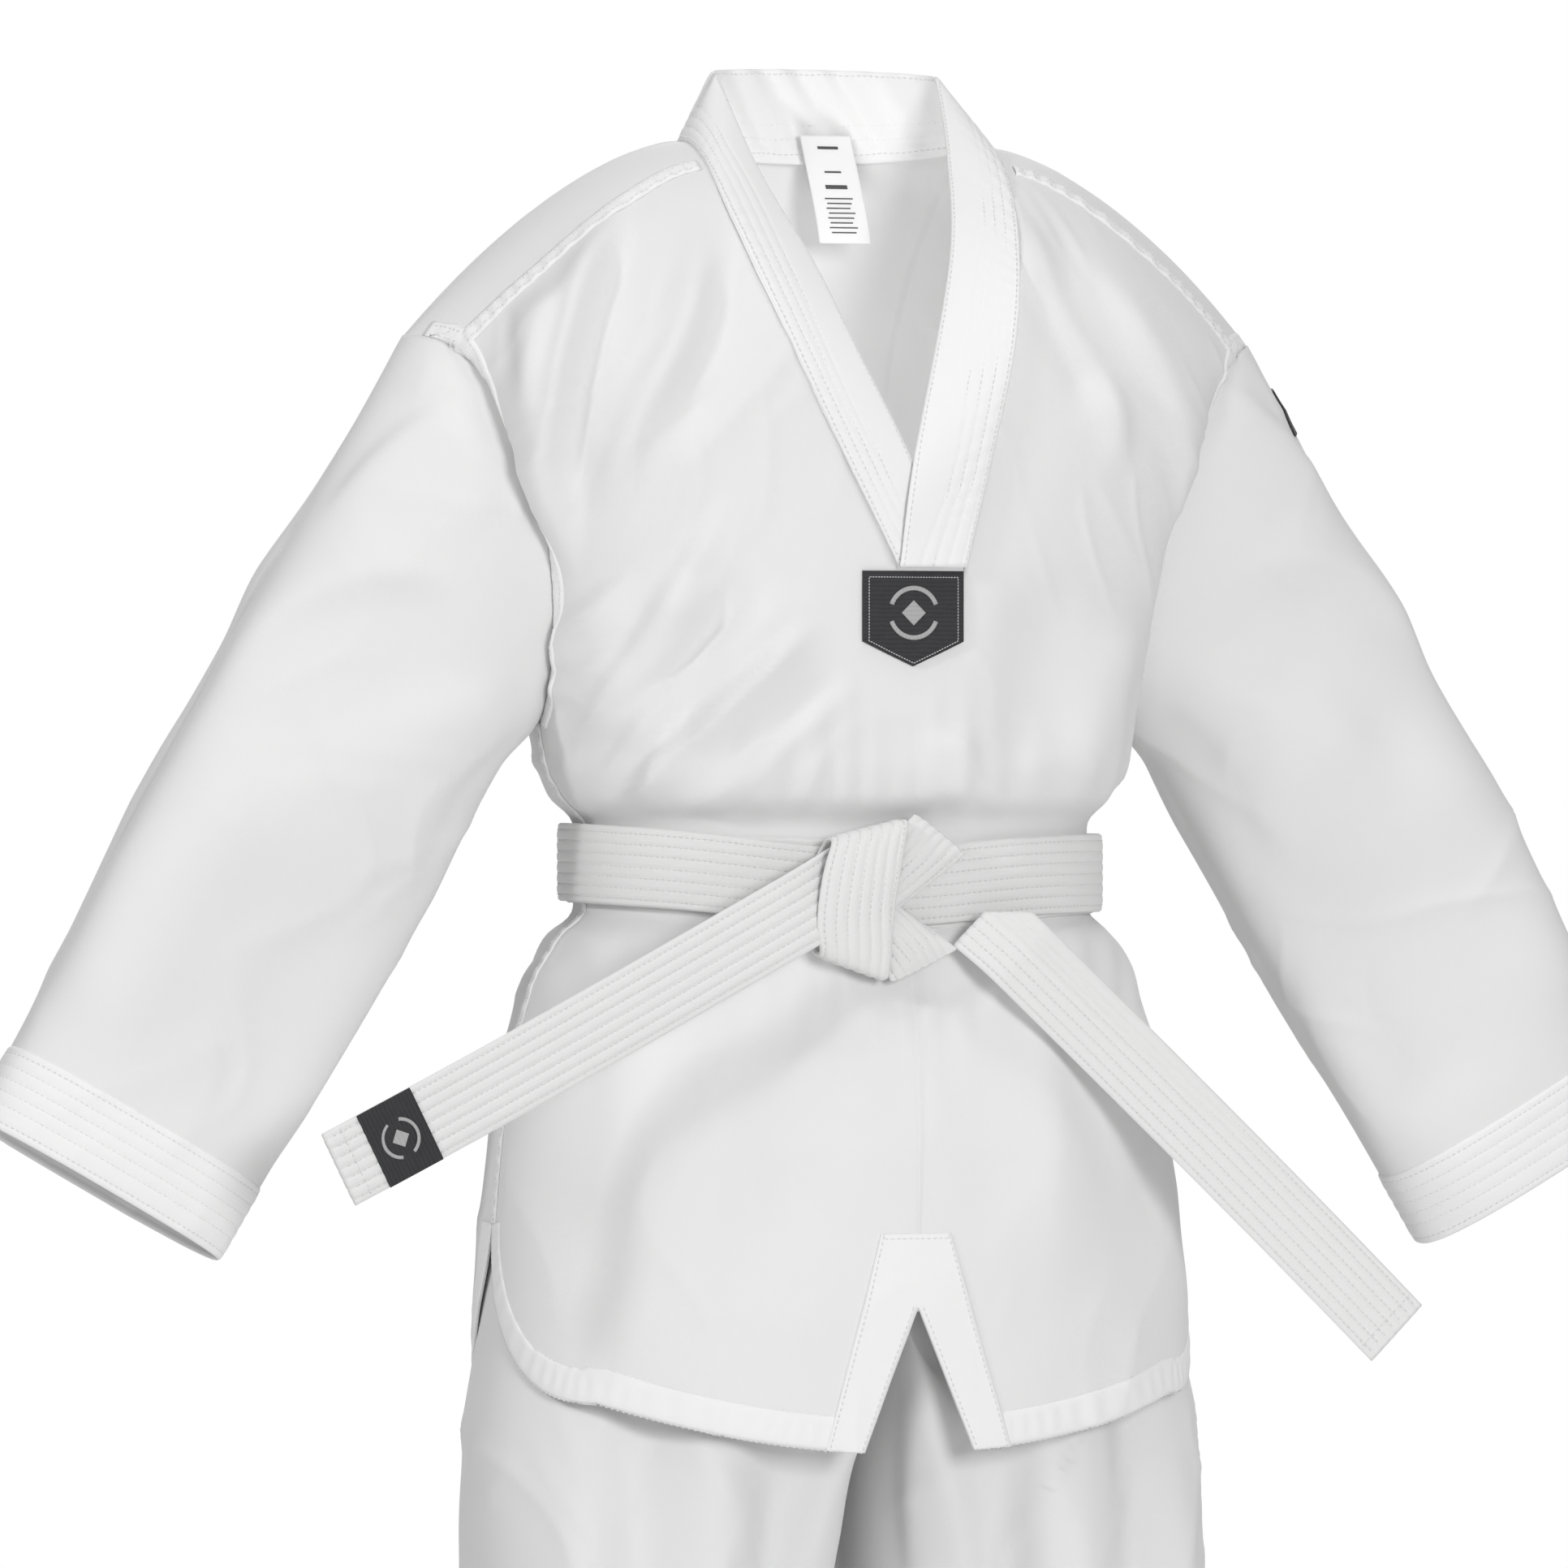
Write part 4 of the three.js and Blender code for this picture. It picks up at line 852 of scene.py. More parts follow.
SLEEVE_FOLDS = [
    ([(0.035, 0.245), (0.022, 0.290), (0.012, 0.345)], 0.0045, 0.014, 0.0025, 1),
    ([(0.062, 0.330), (0.030, 0.385), (0.010, 0.455)], 0.0050, 0.018, 0.0035, -1),
    ([(0.085, 0.350), (0.060, 0.420), (0.050, 0.500)], 0.0045, 0.018, 0.0035, 1),
    ([(0.095, 0.368), (0.085, 0.430), (0.090, 0.520)], 0.0035, 0.015, 0.0035, -1),
]
SLEEVE_DRAPES = [
    ([(0.045, 0.450), (0.025, 0.560), (0.030, 0.690)], 0.0040, 0.022),
    ([(0.075, 0.480), (0.070, 0.600), (0.080, 0.700)], -0.0035, 0.020),
    ([(0.015, 0.330), (0.008, 0.470), (0.012, 0.640)], 0.0030, 0.016),
    ([(0.105, 0.420), (0.108, 0.540), (0.100, 0.690)], 0.0035, 0.016),
]


def sleeve_point(side, along, turn, lift=0.0):
    """The flat oval of the sleeve at a place along it; near the shoulder it eases from the armhole
    ring. turn 0 is the outer edge, a quarter turn the front."""
    along, turn = np.broadcast_arrays(along, turn)
    t = np.clip((along - ARMPIT_ALONG) / (CUFF_ALONG - ARMPIT_ALONG), 0, 1)
    half = SLEEVE_HALF[0] + (SLEEVE_HALF[1] - SLEEVE_HALF[0]) * t
    depth = SLEEVE_DEPTH[0] + (SLEEVE_DEPTH[1] - SLEEVE_DEPTH[0]) * t
    out = AXIS_OUT + half * power(np.cos(turn), OVAL)
    y = -depth * power(np.sin(turn), OVAL)
    start_along, start_out, start_y = armhole_ring(turn)
    ease = soft((along - start_along) / (ARMPIT_ALONG + 0.035 - start_along))
    out = start_out + (out - start_out) * ease
    y = start_y + (y - start_y) * ease
    length = np.sqrt((out - AXIS_OUT) ** 2 + y ** 2)
    out = out + lift * (out - AXIS_OUT) / np.maximum(length, 1e-6) * 0.6
    y = y + lift * power(np.sin(turn), 0.7)
    down_axis, out_axis = sleeve_axes(side)
    point = along[..., None] * down_axis + out[..., None] * out_axis
    point[..., 1] += y
    return point


def armhole_ring(turn):
    """Where the armhole edge lies, in distances along and out of the left sleeve."""
    v = (1 - np.cos(turn)) / 2
    front = np.sin(turn) >= 0
    edge = body_point(-1, math.pi, v)
    down_axis, out_axis = sleeve_axes(1)
    y = np.where(front, edge[..., 1], -edge[..., 1])
    return edge @ down_axis, edge @ out_axis, y


def sleeve_relief(side, along, turn):
    """Folds of a sleeve, placed by distance round it from the outer edge and distance along it; the
    back of the sleeve has the same folds, further up."""
    around = np.where(turn > math.pi, 2 * math.pi - turn, turn) / math.pi * 0.120
    shift = np.where(turn > math.pi, 0.030, 0.0) + (0.012 if side > 0 else 0.0)
    places = np.stack([around, along + shift], -1).reshape(-1, 2)
    total = unrest(places + side, 31 + side, 0.13, 0.0022) + hand_folds(places, SLEEVE_FOLDS, SLEEVE_DRAPES)
    total = total + creases(places, 61 + side, 0.12, 0.045, 0.0020, 0.22)
    total = total.reshape(along.shape)
    start = armhole_ring(turn)[0]
    at_armhole = soft((along - start) / 0.020)
    at_cuff = 0.35 + 0.65 * soft((CUFF_ALONG - CUFF_BAND - along) / 0.050)
    at_edges = 0.35 + 0.65 * np.abs(np.sin(turn))
    return total * at_armhole * at_cuff * at_edges


def sleeve_skin(side, along, turn, lift=0.0):
    """Points of the folded sleeve and the directions that stand square on it."""
    along, turn = np.broadcast_arrays(np.asarray(along, float), np.asarray(turn, float))
    step = 2e-3
    point = sleeve_point(side, along, turn)
    around = sleeve_point(side, along, turn + step) - sleeve_point(side, along, turn - step)
    down = sleeve_point(side, along + step, turn) - sleeve_point(side, along - step, turn)
    normal = unit(side * np.cross(around, down))
    height = sleeve_relief(side, along, turn) + lift
    return point + normal * height[..., None], normal


def sleeve_cloth(name, side):
    turn = np.linspace(0, 2 * math.pi, SLEEVE_COLS + 1)[None, :-1]
    start = armhole_ring(turn)[0]
    share = np.linspace(0, 1, SLEEVE_ROWS)[:, None]
    along = start + (CUFF_ALONG - CUFF_BAND + 0.004 - start) * share
    points, normals = sleeve_skin(side, along, turn + 0 * share)
    uv = cloth_map(points)
    faces = grid_faces(SLEEVE_ROWS, SLEEVE_COLS, wrap=True).reshape(-1, 4)
    flat_points = points.reshape(-1, 3)
    cloth = add_piece(name, flat_points, faces_out(flat_points, faces), cotton, uv,
                      wall=PANEL_WALL)
    body = "left_sleeve" if side > 0 else "right_sleeve"
    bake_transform(cloth)
    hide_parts(body, body + "_head_front", body + "_head_back")
    return cloth


sleeves = {name: sleeve_cloth(f"{name}_sleeve_cloth", side) for name, side in (("left", 1), ("right", -1))}
print("sleeves from", round(TIP_ALONG, 3), "to", round(CUFF_ALONG, 3))


# %% [markdown]
# ## Bands
# Collar, cuffs and belt are several layers of cloth: thick bands with rounded edges. A band is a
# closed skin round a middle surface: its two faces lie half a thickness to each side, and that
# half-thickness falls to nothing at the two long edges like the end of a flattened oval. Sewn rows
# press grooves into it.

# %% Band surface
def grooves(across, rows, depth, width=0.0011):
    """How deep the rows of stitches press the band in, over the distance across it."""
    if len(rows) == 0:
        return 0 * across
    gap = across[..., None] - np.asarray(rows)
    return depth * np.exp(-(gap / width) ** 2).sum(-1)


def surface_normals(middle, wrap=False):
    """Directions square on a grid, from the differences between its neighbouring points."""
    if wrap:
        down = np.roll(middle, -1, 0) - np.roll(middle, 1, 0)
    else:
        down = np.gradient(middle, axis=0)
    across = np.gradient(middle, axis=1)
    return unit(np.cross(down, across))


def band(name, middle, thickness, material, body=None, rows=(), groove=0.0005, closed=False,
         puff=0.0):
    """A thick band round a grid whose columns run across it. closed joins its two ends."""
    count, cols = middle.shape[:2]
    normal = surface_normals(middle, closed)
    across = np.concatenate([np.zeros((count, 1)),
                             np.linalg.norm(np.diff(middle, axis=1), axis=2).cumsum(1)], 1)
    share = across / across[:, -1:]
    half = thickness / 2 * np.clip(1 - np.abs(2 * share - 1) ** 9, 0, 1) ** 0.5
    edge = np.minimum(across, across[:, -1:] - across)
    half = half - grooves(across, rows, groove) * soft(edge / 0.001) + puff * np.sin(math.pi * share)
    half = np.maximum(half, 0.00005)[..., None]
    ring = np.concatenate([middle + normal * half, (middle - normal * half)[:, ::-1]], 1)
    uv = np.stack([np.concatenate([across, across[:, ::-1]], 1),
                   np.repeat(np.linalg.norm(np.diff(middle[:, :1], axis=0, prepend=middle[:1, :1]),
                                            axis=2).cumsum(0), 2 * cols, 1)], -1).reshape(-1, 2)
    faces = grid_faces(count, 2 * cols, wrap=True).reshape(-1, 4)
    if closed:
        first, last = np.arange(2 * cols), (count - 1) * 2 * cols + np.arange(2 * cols)
        join_faces = np.stack([last, first, np.roll(first, -1), np.roll(last, -1)], -1)
        faces = np.vstack([faces, join_faces])
    else:
        top = np.arange(cols - 1)
        under = 2 * cols - 1 - top
        cap = np.stack([top, top + 1, under - 1, under], -1)
        faces = np.vstack([faces, cap, (cap + (count - 1) * 2 * cols)[:, ::-1]])
    flat_points = ring.reshape(-1, 3)
    if signed_volume(flat_points, faces) < 0:
        faces = faces[:, ::-1]
    return add_piece(name, flat_points, faces, material, uv, body)


def signed_volume(points, faces):
    a, b, c, d = (points[faces[:, i]] for i in range(4))
    return (np.einsum("ij,ij->i", a, np.cross(b, c)) + np.einsum("ij,ij->i", a, np.cross(c, d))).sum()


# %% [markdown]
# ## Stitches
# A row of machine stitches is a line of small dashes that sit in their holes: each is a thin body of
# eight faces, pointed at both ends. They are laid along a line at even steps, and all stitches of a
# piece are one mesh.

# %% Stitch rows
STITCH = {"pitch": 0.0034, "length": 0.0024, "wide": 0.00045, "high": 0.00030}
STITCH_LIFT = 0.0001


def even_steps(line, pitch):
    """Points at even distances along a line, the direction there and the place in the line."""
    step = np.linalg.norm(np.diff(line, axis=0), axis=1)
    reach = np.concatenate([[0], step.cumsum()])
    count = max(2, int(reach[-1] / pitch))
    at = (np.arange(count) + 0.5) * reach[-1] / count
    spot = np.stack([np.interp(at, reach, line[:, k]) for k in range(3)], -1)
    ahead = np.stack([np.interp(at + pitch / 3, reach, line[:, k]) for k in range(3)], -1)
    behind = np.stack([np.interp(at - pitch / 3, reach, line[:, k]) for k in range(3)], -1)
    return spot, unit(ahead - behind), at, reach


def stitch_rows(name, rows, body=None, size=STITCH, material=None, blend=None):
    """rows is a list of (line, normals): each line gets its dashes, standing square on the cloth."""
    all_points, all_faces = [], []
    base = 0
    octahedron = np.array([(0, 2, 4), (2, 1, 4), (1, 3, 4), (3, 0, 4),
                           (2, 0, 5), (1, 2, 5), (3, 1, 5), (0, 3, 5)])
    for line, normals in rows:
        spot, way, at, reach = even_steps(line, size["pitch"])
        up = np.stack([np.interp(at, reach, normals[:, k]) for k in range(3)], -1)
        up = unit(up - way * (up * way).sum(1, keepdims=True))
        cross = np.cross(way, up)
        ends = way * size["length"] / 2
        aside, rise = cross * size["wide"], up * size["high"]
        points = np.stack([spot - ends, spot + ends, spot + aside, spot - aside, spot + rise, spot - rise], 1)
        all_points.append(points.reshape(-1, 3))
        all_faces.append((octahedron[None] + base + 6 * np.arange(len(spot))[:, None, None]).reshape(-1, 3))
        base += 6 * len(spot)
    points, faces = np.vstack(all_points), np.vstack(all_faces)
    first = points[faces[0]]
    outward = np.cross(first[1] - first[0], first[2] - first[0]) @ (first.mean(0) - points[:6].mean(0))
    if outward < 0:
        faces = faces[:, ::-1]
    thing = add_piece(name, points, faces, material or white_thread, None, body)
    if blend:
        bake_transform(thing)
    return thing


def stitch_line(points, normals, k, height, ring=False):
    """Column k of a grid, raised by height, with its normals; a ring ends where it began."""
    line, square = points[:, k], normals[:, k]
    if ring:
        line, square = np.vstack([line, line[:1]]), np.vstack([square, square[:1]])
    return line + square * height, square


# %% [markdown]
# ## Collar
# The collar is three bands that stand up round the neck and run down the V. The left band, on top,
# ends square on the badge. Four rows of stitches run close to the sewn edge.

# %% Collar bands
COLLAR_TOP_Z = 0.033
COLLAR_TOP_HALF = 0.064
COLLAR_WALL = 0.0026
LEFT_FREE = [(0.064, 0.008, 0.030), (0.056, -0.034, -0.015), (0.040, -0.084, -0.078),
             (0.008, -0.118, -0.187), (-0.001, -0.120, -0.246)]
RIGHT_FREE = [(-0.064, 0.008, 0.030), (-0.056, -0.044, -0.026), (-0.037, -0.086, -0.080),
              (-0.020, -0.108, -0.127), (0.008, -0.117, -0.187), (0.030, -0.119, -0.246)]
COLLAR_ROWS = 120
COLLAR_COLS = 40
COLLAR_STITCH_SHARES = (0.07, 0.22, 0.37, 0.52)


def collar_middle(seam, free, lift):
    """Straight across from the seam on the chest to the free edge, slightly crowned."""
    x, z = smooth_line(seam, COLLAR_ROWS).T
    turn, level = body_place(x, z)
    sewn = body_point(-1, turn, level)
    sewn[0, 1] = 0
    edge = smooth_line(free, COLLAR_ROWS)
    share = np.linspace(0, 1, COLLAR_COLS)[None, :, None]
    middle = sewn[:, None] + (edge - sewn)[:, None] * share
    along = np.linspace(0, 1, COLLAR_ROWS)[:, None]
    middle[..., 1] -= lift * soft(along) + 0.0016 + 0.0025 * np.sin(math.pi * share[..., 0]) * (1 - along)
    middle[..., 2] = np.maximum(middle[..., 2], COLLAR_END_Z)
    return middle


PUCKER_PITCH = 0.009


def collar_band(name, middle, node, puckers):
    """A collar band with its stitch rows; puckers are fine ripples square to the rows."""
    reach = np.linalg.norm(np.diff(middle[:, :1], axis=0, prepend=middle[:1, :1]), axis=2).cumsum(0)
    share = np.linspace(0, 1, middle.shape[1])[None]
    ripple = puckers * np.sin(reach * 2 * math.pi / PUCKER_PITCH + 5 * np.sin(reach * 40))
    ripple = ripple * np.exp(-(share / 0.6) ** 2)
    normal = surface_normals(middle)
    middle = middle + normal * ripple[..., None]
    width = np.linalg.norm(middle[:, -1] - middle[:, 0], axis=1).mean()
    rows = [width * s for s in COLLAR_STITCH_SHARES]
    thing = band(name, middle, COLLAR_WALL, facing_cloth, "jacket", rows, 0.00035)
    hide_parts(node)
    outward = normal if (normal[..., 1].mean() < 0) else -normal
    lines = []
    for s in (*COLLAR_STITCH_SHARES, 0.97):
        k = int(s * (middle.shape[1] - 1))
        lines.append(stitch_line(middle, outward, k, COLLAR_WALL / 2 - 0.0002))
    stitch_rows(name + "_stitches", lines, "jacket")
    return thing


collar_left = collar_band(
    "collar_left", collar_middle(LEFT_SEAM, LEFT_FREE, 0.0036), "collar_left_band", 0.0002)
collar_right = collar_band(
    "collar_right", collar_middle(RIGHT_SEAM, RIGHT_FREE, 0.0), "collar_right_band", 0.0002)
print("two front bands")


# %% Back collar
def back_collar_middle():
    """Half an oval round the nape; the top leans in and dips a little in the middle."""
    a = np.linspace(math.radians(2), math.pi - math.radians(2), COLLAR_ROWS)[:, None]
    share = np.linspace(0, 1, COLLAR_COLS)[None]
    inside = 1 - 0.001 / NECK_HALF
    low = np.stack([NECK_HALF * inside * np.cos(a), NECK_BACK * inside * np.sin(a),
                    NECK_SIDE_Z - 0.009 * np.sin(a)], -1)
    high = np.stack([COLLAR_TOP_HALF * np.cos(a), 0.008 + (NECK_BACK - 0.012) * np.sin(a),
                     COLLAR_TOP_Z - 0.003 + 0.005 * np.sin(a)], -1)
    middle = low + (high - low) * share[..., None]
    x = middle[..., 0]
    creases = 0.0016 * np.sin(x * 2 * math.pi / 0.022 + share * 9.0) * soft(share / 0.2) * np.abs(np.sin(a))
    middle[..., 1] += creases
    return middle


back_middle = back_collar_middle()
collar_back = band("collar_back", back_middle, COLLAR_WALL, facing_cloth, "jacket",
                   [0.004, 0.010, 0.016], 0.0003)
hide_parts("collar_back_band")
back_normal = surface_normals(back_middle)
inward = back_normal if back_normal[COLLAR_ROWS // 2, 5, 1] < 0 else -back_normal
stitch_rows("collar_back_stitches", [
    stitch_line(back_middle, inward, k, COLLAR_WALL / 2 - 0.0001) for k in (4, 10, 16, 37)], "jacket")
print("back band", len(collar_back.data.polygons), "faces")


# %% [markdown]
# ## Strips on the jacket
# Seams show as narrow raised strips with stitches: the shoulder seam, the armholes, the hem, the slit
# facing. A strip follows a line on the body. To lay its other edge a fixed distance away, the points
# walk square off the line over the surface in small steps.

# %% Walk over the surface
def walk(face, turn, level, distance, count=12, most=0.12):
    """turn and level after walking a distance square off a line, towards the middle of the panel, in
    count small steps. Each step solves for the changes of turn and level that move the point so."""
    at_turn, at_level = turn.copy(), level.copy()
    line = body_point(face, turn, level)
    way = unit(np.gradient(line, axis=0))
    middle = body_point(face, math.pi / 2, 1.2)
    for _ in range(count):
        e = 4e-3
        more, less = np.clip(at_turn + e, 0, math.pi), np.clip(at_turn - e, 0, math.pi)
        d_turn = body_point(face, more, at_level) - body_point(face, less, at_level)
        d_turn = d_turn / (more - less)[:, None]
        d_level = body_point(face, at_turn, at_level + e) - body_point(face, at_turn, at_level - e)
        d_level = d_level / (2 * e)
        normal = np.cross(d_turn, d_level)
        square = np.cross(normal, way)
        square = unit(square * np.sign((square * (middle - line)).sum()))
        aa, ab, bb = ((d_turn ** 2).sum(1), (d_turn * d_level).sum(1), (d_level ** 2).sum(1))
        ra, rb = (d_turn * square).sum(1), (d_level * square).sum(1)
        base = np.maximum(aa * bb - ab ** 2, 1e-9)
        turn_step = distance / count * (ra * bb - rb * ab) / base
        level_step = distance / count * (rb * aa - ra * ab) / base
        at_turn = np.clip(at_turn + np.clip(turn_step, -most, most), 0, math.pi)
        at_level = np.clip(at_level + np.clip(level_step, -most, most), 0, 2)
    return at_turn, at_level


def strip(name, face, turn, level, width, lift=0.0012, stitches=(0.2, 0.8), pucker=0.0,
          material=None, cols=9):
    """A flat strip on the jacket from a line to a line `width` away, with stitch rows."""
    lines = [walk(face, turn, level, width * s) for s in np.linspace(0, 1, cols)]
    turns = np.stack([a for a, b in lines], 1)
    levels = np.stack([b for a, b in lines], 1)
    points, normals = body_skin(face, turns, levels, lift)
    reach = np.linalg.norm(np.diff(points[:, :1], axis=0, prepend=points[:1, :1]), axis=2).cumsum(0)
    share = np.linspace(0, 1, cols)[None]
    ripple = pucker * np.sin(reach * 2 * math.pi / 0.012 + 4 * np.sin(reach * 45)) * np.sin(math.pi * share)
    bulge = -0.0008 * np.abs(2 * share - 1) ** 6
    points = points + normals * (ripple + bulge)[..., None]
    faces = grid_faces(*turns.shape).reshape(-1, 4)
    flat_points = points.reshape(-1, 3)
    faces = faces_along(flat_points, faces, normals.reshape(-1, 3))
    thing = add_piece(name, flat_points, faces, material or facing_cloth, cloth_map(points),
                      "jacket", wall=0.0006)
    rows = [stitch_line(points, normals, int(round(s * (cols - 1))), STITCH_LIFT) for s in stitches]
    stitch_rows(name + "_stitches", rows, "jacket")
    return thing


# %% Shoulder, armhole and side seams
strips = []
for side_name, mirror in (("right", 0), ("left", 1)):
    def turned(turn):
        return math.pi - turn if mirror else turn

    x = np.linspace(-0.092, -0.240, 90)
    z = ridge(x) - 0.013 - 0.010 * soft((np.abs(x) - 0.09) / 0.1)
    turn, level = body_place(x, z)
    strips.append(strip(f"{side_name}_shoulder_band", -1, turned(turn), level, 0.011, pucker=0.0009))
    down = np.linspace(0.03, 0.985, 110)
    edge_turn = np.full(110, 0.0)
    for face, label in ((-1, "front"), (1, "back")):
        strips.append(strip(f"{side_name}_armhole_{label}", face, turned(edge_turn), down, 0.011,
                            pucker=0.0003))
    low = np.linspace(1.0, 1 + (ARMPIT_Z - VENT_TOP_Z) / (ARMPIT_Z - HEM_Z), 130)
    strips.append(strip(f"{side_name}_side_seam", -1, turned(np.full(130, 0.0)), low, 0.008,
                        pucker=0.0006, stitches=(0.5,)))
print(len(strips), "seam strips")


# %% [markdown]
# ### Hem and slit facing
# The hem is folded up once and stitched eighteen millimetres above its edge. The slit is backed by a
# strip that is cut like the letter A, turned to the outside and stitched down along both edges.

# %% Hem bands
HEM_WIDTH = 0.018
FACING_TOP_Z = -0.608
FACING_TOP_HALF = 0.020
FACING_LOW_HALF = 0.054


def hem_edge(face, side, count=150):
    """Down the rounded vent corner from the vent's top, then along the hem to the middle."""
    turn, level = vent_line(face)
    middle = math.pi / 2
    if face < 0:
        x = np.array([SLIT_X + side * SLIT_HALF])
        middle = float(body_place(x, HEM_Z)[0][0])
        middle = middle if side < 0 else math.pi - middle
    turns = np.concatenate([turn, np.linspace(turn[-1], middle, 60)[1:]])
    levels = np.concatenate([level, np.full(59, 2.0)])
    points = body_point(face, turns, levels)
    reach = np.concatenate([[0], np.linalg.norm(np.diff(points, axis=0), axis=1).cumsum()])
    even = np.linspace(0, reach[-1], count)
    turns, levels = np.interp(even, reach, turns), np.interp(even, reach, levels)
    return (math.pi - turns if side > 0 else turns), levels


for face, label in ((-1, "front"), (1, "back")):
    for side, side_name in ((-1, "right"), (1, "left")):
        turn, level = hem_edge(face, side)
        strips.append(strip(f"{side_name}_hem_{label}", face, turn, level, HEM_WIDTH,
                            lift=0.0006, pucker=0.0003, stitches=(0.06, 0.94)))
print(len(strips), "strips")


# %% Slit facing
SLIT_FACING_LIFT = 0.0009


def slit_facing():
    z = np.linspace(FACING_TOP_Z, HEM_Z - 0.0005, 90)
    t = (FACING_TOP_Z - z) / (FACING_TOP_Z - HEM_Z)
    outer = FACING_TOP_HALF + (FACING_LOW_HALF - FACING_TOP_HALF) * t
    inner = np.clip(SLIT_HALF * (SLIT_TOP_Z - z) / (SLIT_TOP_Z - HEM_Z), 0, None)
    x = np.concatenate([SLIT_X - columns_between(outer, inner, 12),
                        SLIT_X + columns_between(inner, outer, 12)], 1)
    turn, level = body_place(x, z[:, None] + 0 * x)
    points, normals = body_skin(-1, turn, level, SLIT_FACING_LIFT)
    faces = grid_faces(*x.shape)
    keep = np.ones(faces.shape[:2], bool)
    keep[z[:-1] < SLIT_TOP_Z, 11] = False
    flat_points = points.reshape(-1, 3)
    thing = add_piece("slit_facing_cloth", flat_points, faces_out(flat_points, faces[keep]), facing_cloth,
                      cloth_map(points), "jacket", merge=SEAM_GAP, wall=0.0008)
    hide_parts("slit_facing")
    below = np.flatnonzero(z < SLIT_TOP_Z + 0.002)
    rows = [stitch_line(points, normals, k, STITCH_LIFT) for k in (1, 22)]
    rows += [stitch_line(points[below], normals[below], k, STITCH_LIFT) for k in (10, 13)]
    rows.append((points[2, 1:-1], normals[2, 1:-1]))
    stitch_rows("slit_facing_stitches", rows, "jacket")
    return thing


facing = slit_facing()
print("slit facing", len(facing.data.polygons), "faces")


# %% [markdown]
# ## Cuffs
# Each cuff is a wide turned-back hem with six rows of stitches.

# %% Cuffs
CUFF_ROWS = (0.004, 0.011, 0.018, 0.025, 0.032, 0.041)
CUFF_WALL = 0.0030
CUFF_STITCH_HEIGHT = 0.0011


def cuff(name, side):
    turn = np.linspace(0, 2 * math.pi, 193)[:-1, None]
    along = np.linspace(CUFF_ALONG - CUFF_BAND, CUFF_ALONG, 46)[None]
    points, normals = sleeve_skin(side, along, turn)
    thing = band(name, points, CUFF_WALL, facing_cloth, f"{name.split('_')[0]}_sleeve",
                 CUFF_ROWS, 0.0004, closed=True)
    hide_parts(name.replace("_band", ""))
    rows = [stitch_line(points, normals, int(round(place / CUFF_BAND * 45)), CUFF_STITCH_HEIGHT, ring=True)
            for place in CUFF_ROWS]
    stitch_rows(name + "_stitches", rows, f"{name.split('_')[0]}_sleeve")
    return thing


cuffs = [cuff("left_cuff_band", 1), cuff("right_cuff_band", -1)]
print("cuffs", [len(c.data.polygons) for c in cuffs])


# %% [markdown]
# ## Belt
# The belt is one long quilted strip, wrapped twice round the waist and tied in front. Seven rows of
# stitches run along it. Both wraps dip towards the knot, whose weight and pull draw them down.

# %% Belt wraps
BELT_WIDTH = 0.043
BELT_WALL = 0.0038
BELT_ROWS = tuple(0.0035 + 0.006 * i for i in range(7))
BELT_COLS = 60
WAIST = (0.143, 0.100, 0.092)
KNOT_X = -0.017


def belt_wrap(name, layer, centre, node):
    """An oval ring; centre(x, front) is the height of its middle line."""
    turn = np.linspace(0, 2 * math.pi, 301)[:-1, None]
    base = 0.0008 + layer * (BELT_WALL + 0.0004) + BELT_WALL / 2
    depth = np.where(np.sin(turn) < 0, WAIST[1], WAIST[2])
    x = (WAIST[0] + base) * power(np.cos(turn), OVAL)
    y = (depth + base) * power(np.sin(turn), OVAL)
    share = np.linspace(0.5, -0.5, BELT_COLS)[None]
    front = soft(-y / 0.06)
    z = centre(x, front) + BELT_WIDTH * share
    middle = np.stack([x + 0 * z, y + 0 * z, z], -1)
    thing = band(name, middle, BELT_WALL, belt_cloth, "jacket", BELT_ROWS, 0.0006,
                 closed=True)
    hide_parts(node)
    return thing, middle


def knot_dip(x, wide):
    return np.exp(-((x - KNOT_X) / wide) ** 2)


def outer_centre(x, front):
    return BELT_Z + 0.003 * np.clip(-x / WAIST[0], -1, 1) - 0.011 * knot_dip(x, 0.085) * front


def under_centre(x, front):
    return BELT_Z - 0.001 - 0.003 * x / WAIST[0] \
        - front * (0.010 * knot_dip(x - 0.045, 0.060) + 0.004 * knot_dip(x + 0.06, 0.05))


def outward_rows(middle, columns, height):
    """Lines on the outer face of a belt ring, with the directions away from the body."""
    normal = surface_normals(middle, True)
    away = middle.copy()
    away[..., 2] = 0
    normal = np.where((normal * away).sum(-1, keepdims=True) > 0, normal, -normal)
    return [stitch_line(middle, normal, k, height, ring=True) for k in columns]


BELT_STITCH_HEIGHT = BELT_WALL / 2 - 0.0004
stitch_columns = [int(round(r / BELT_WIDTH * (BELT_COLS - 1))) for r in BELT_ROWS]
belt_outer, outer_middle = belt_wrap("belt_outer", 1, outer_centre, "belt_outer_wrap")
_, under_middle = belt_wrap("belt_under", 0, under_centre, "belt_under_wrap")
stitch_rows("belt_outer_stitches", outward_rows(outer_middle, stitch_columns, BELT_STITCH_HEIGHT),
            "jacket")
stitch_rows("belt_under_stitches", outward_rows(under_middle, [stitch_columns[0], *stitch_columns[-2:]],
                                                BELT_STITCH_HEIGHT), "jacket")
print("belt wraps", len(belt_outer.data.polygons), "faces each")


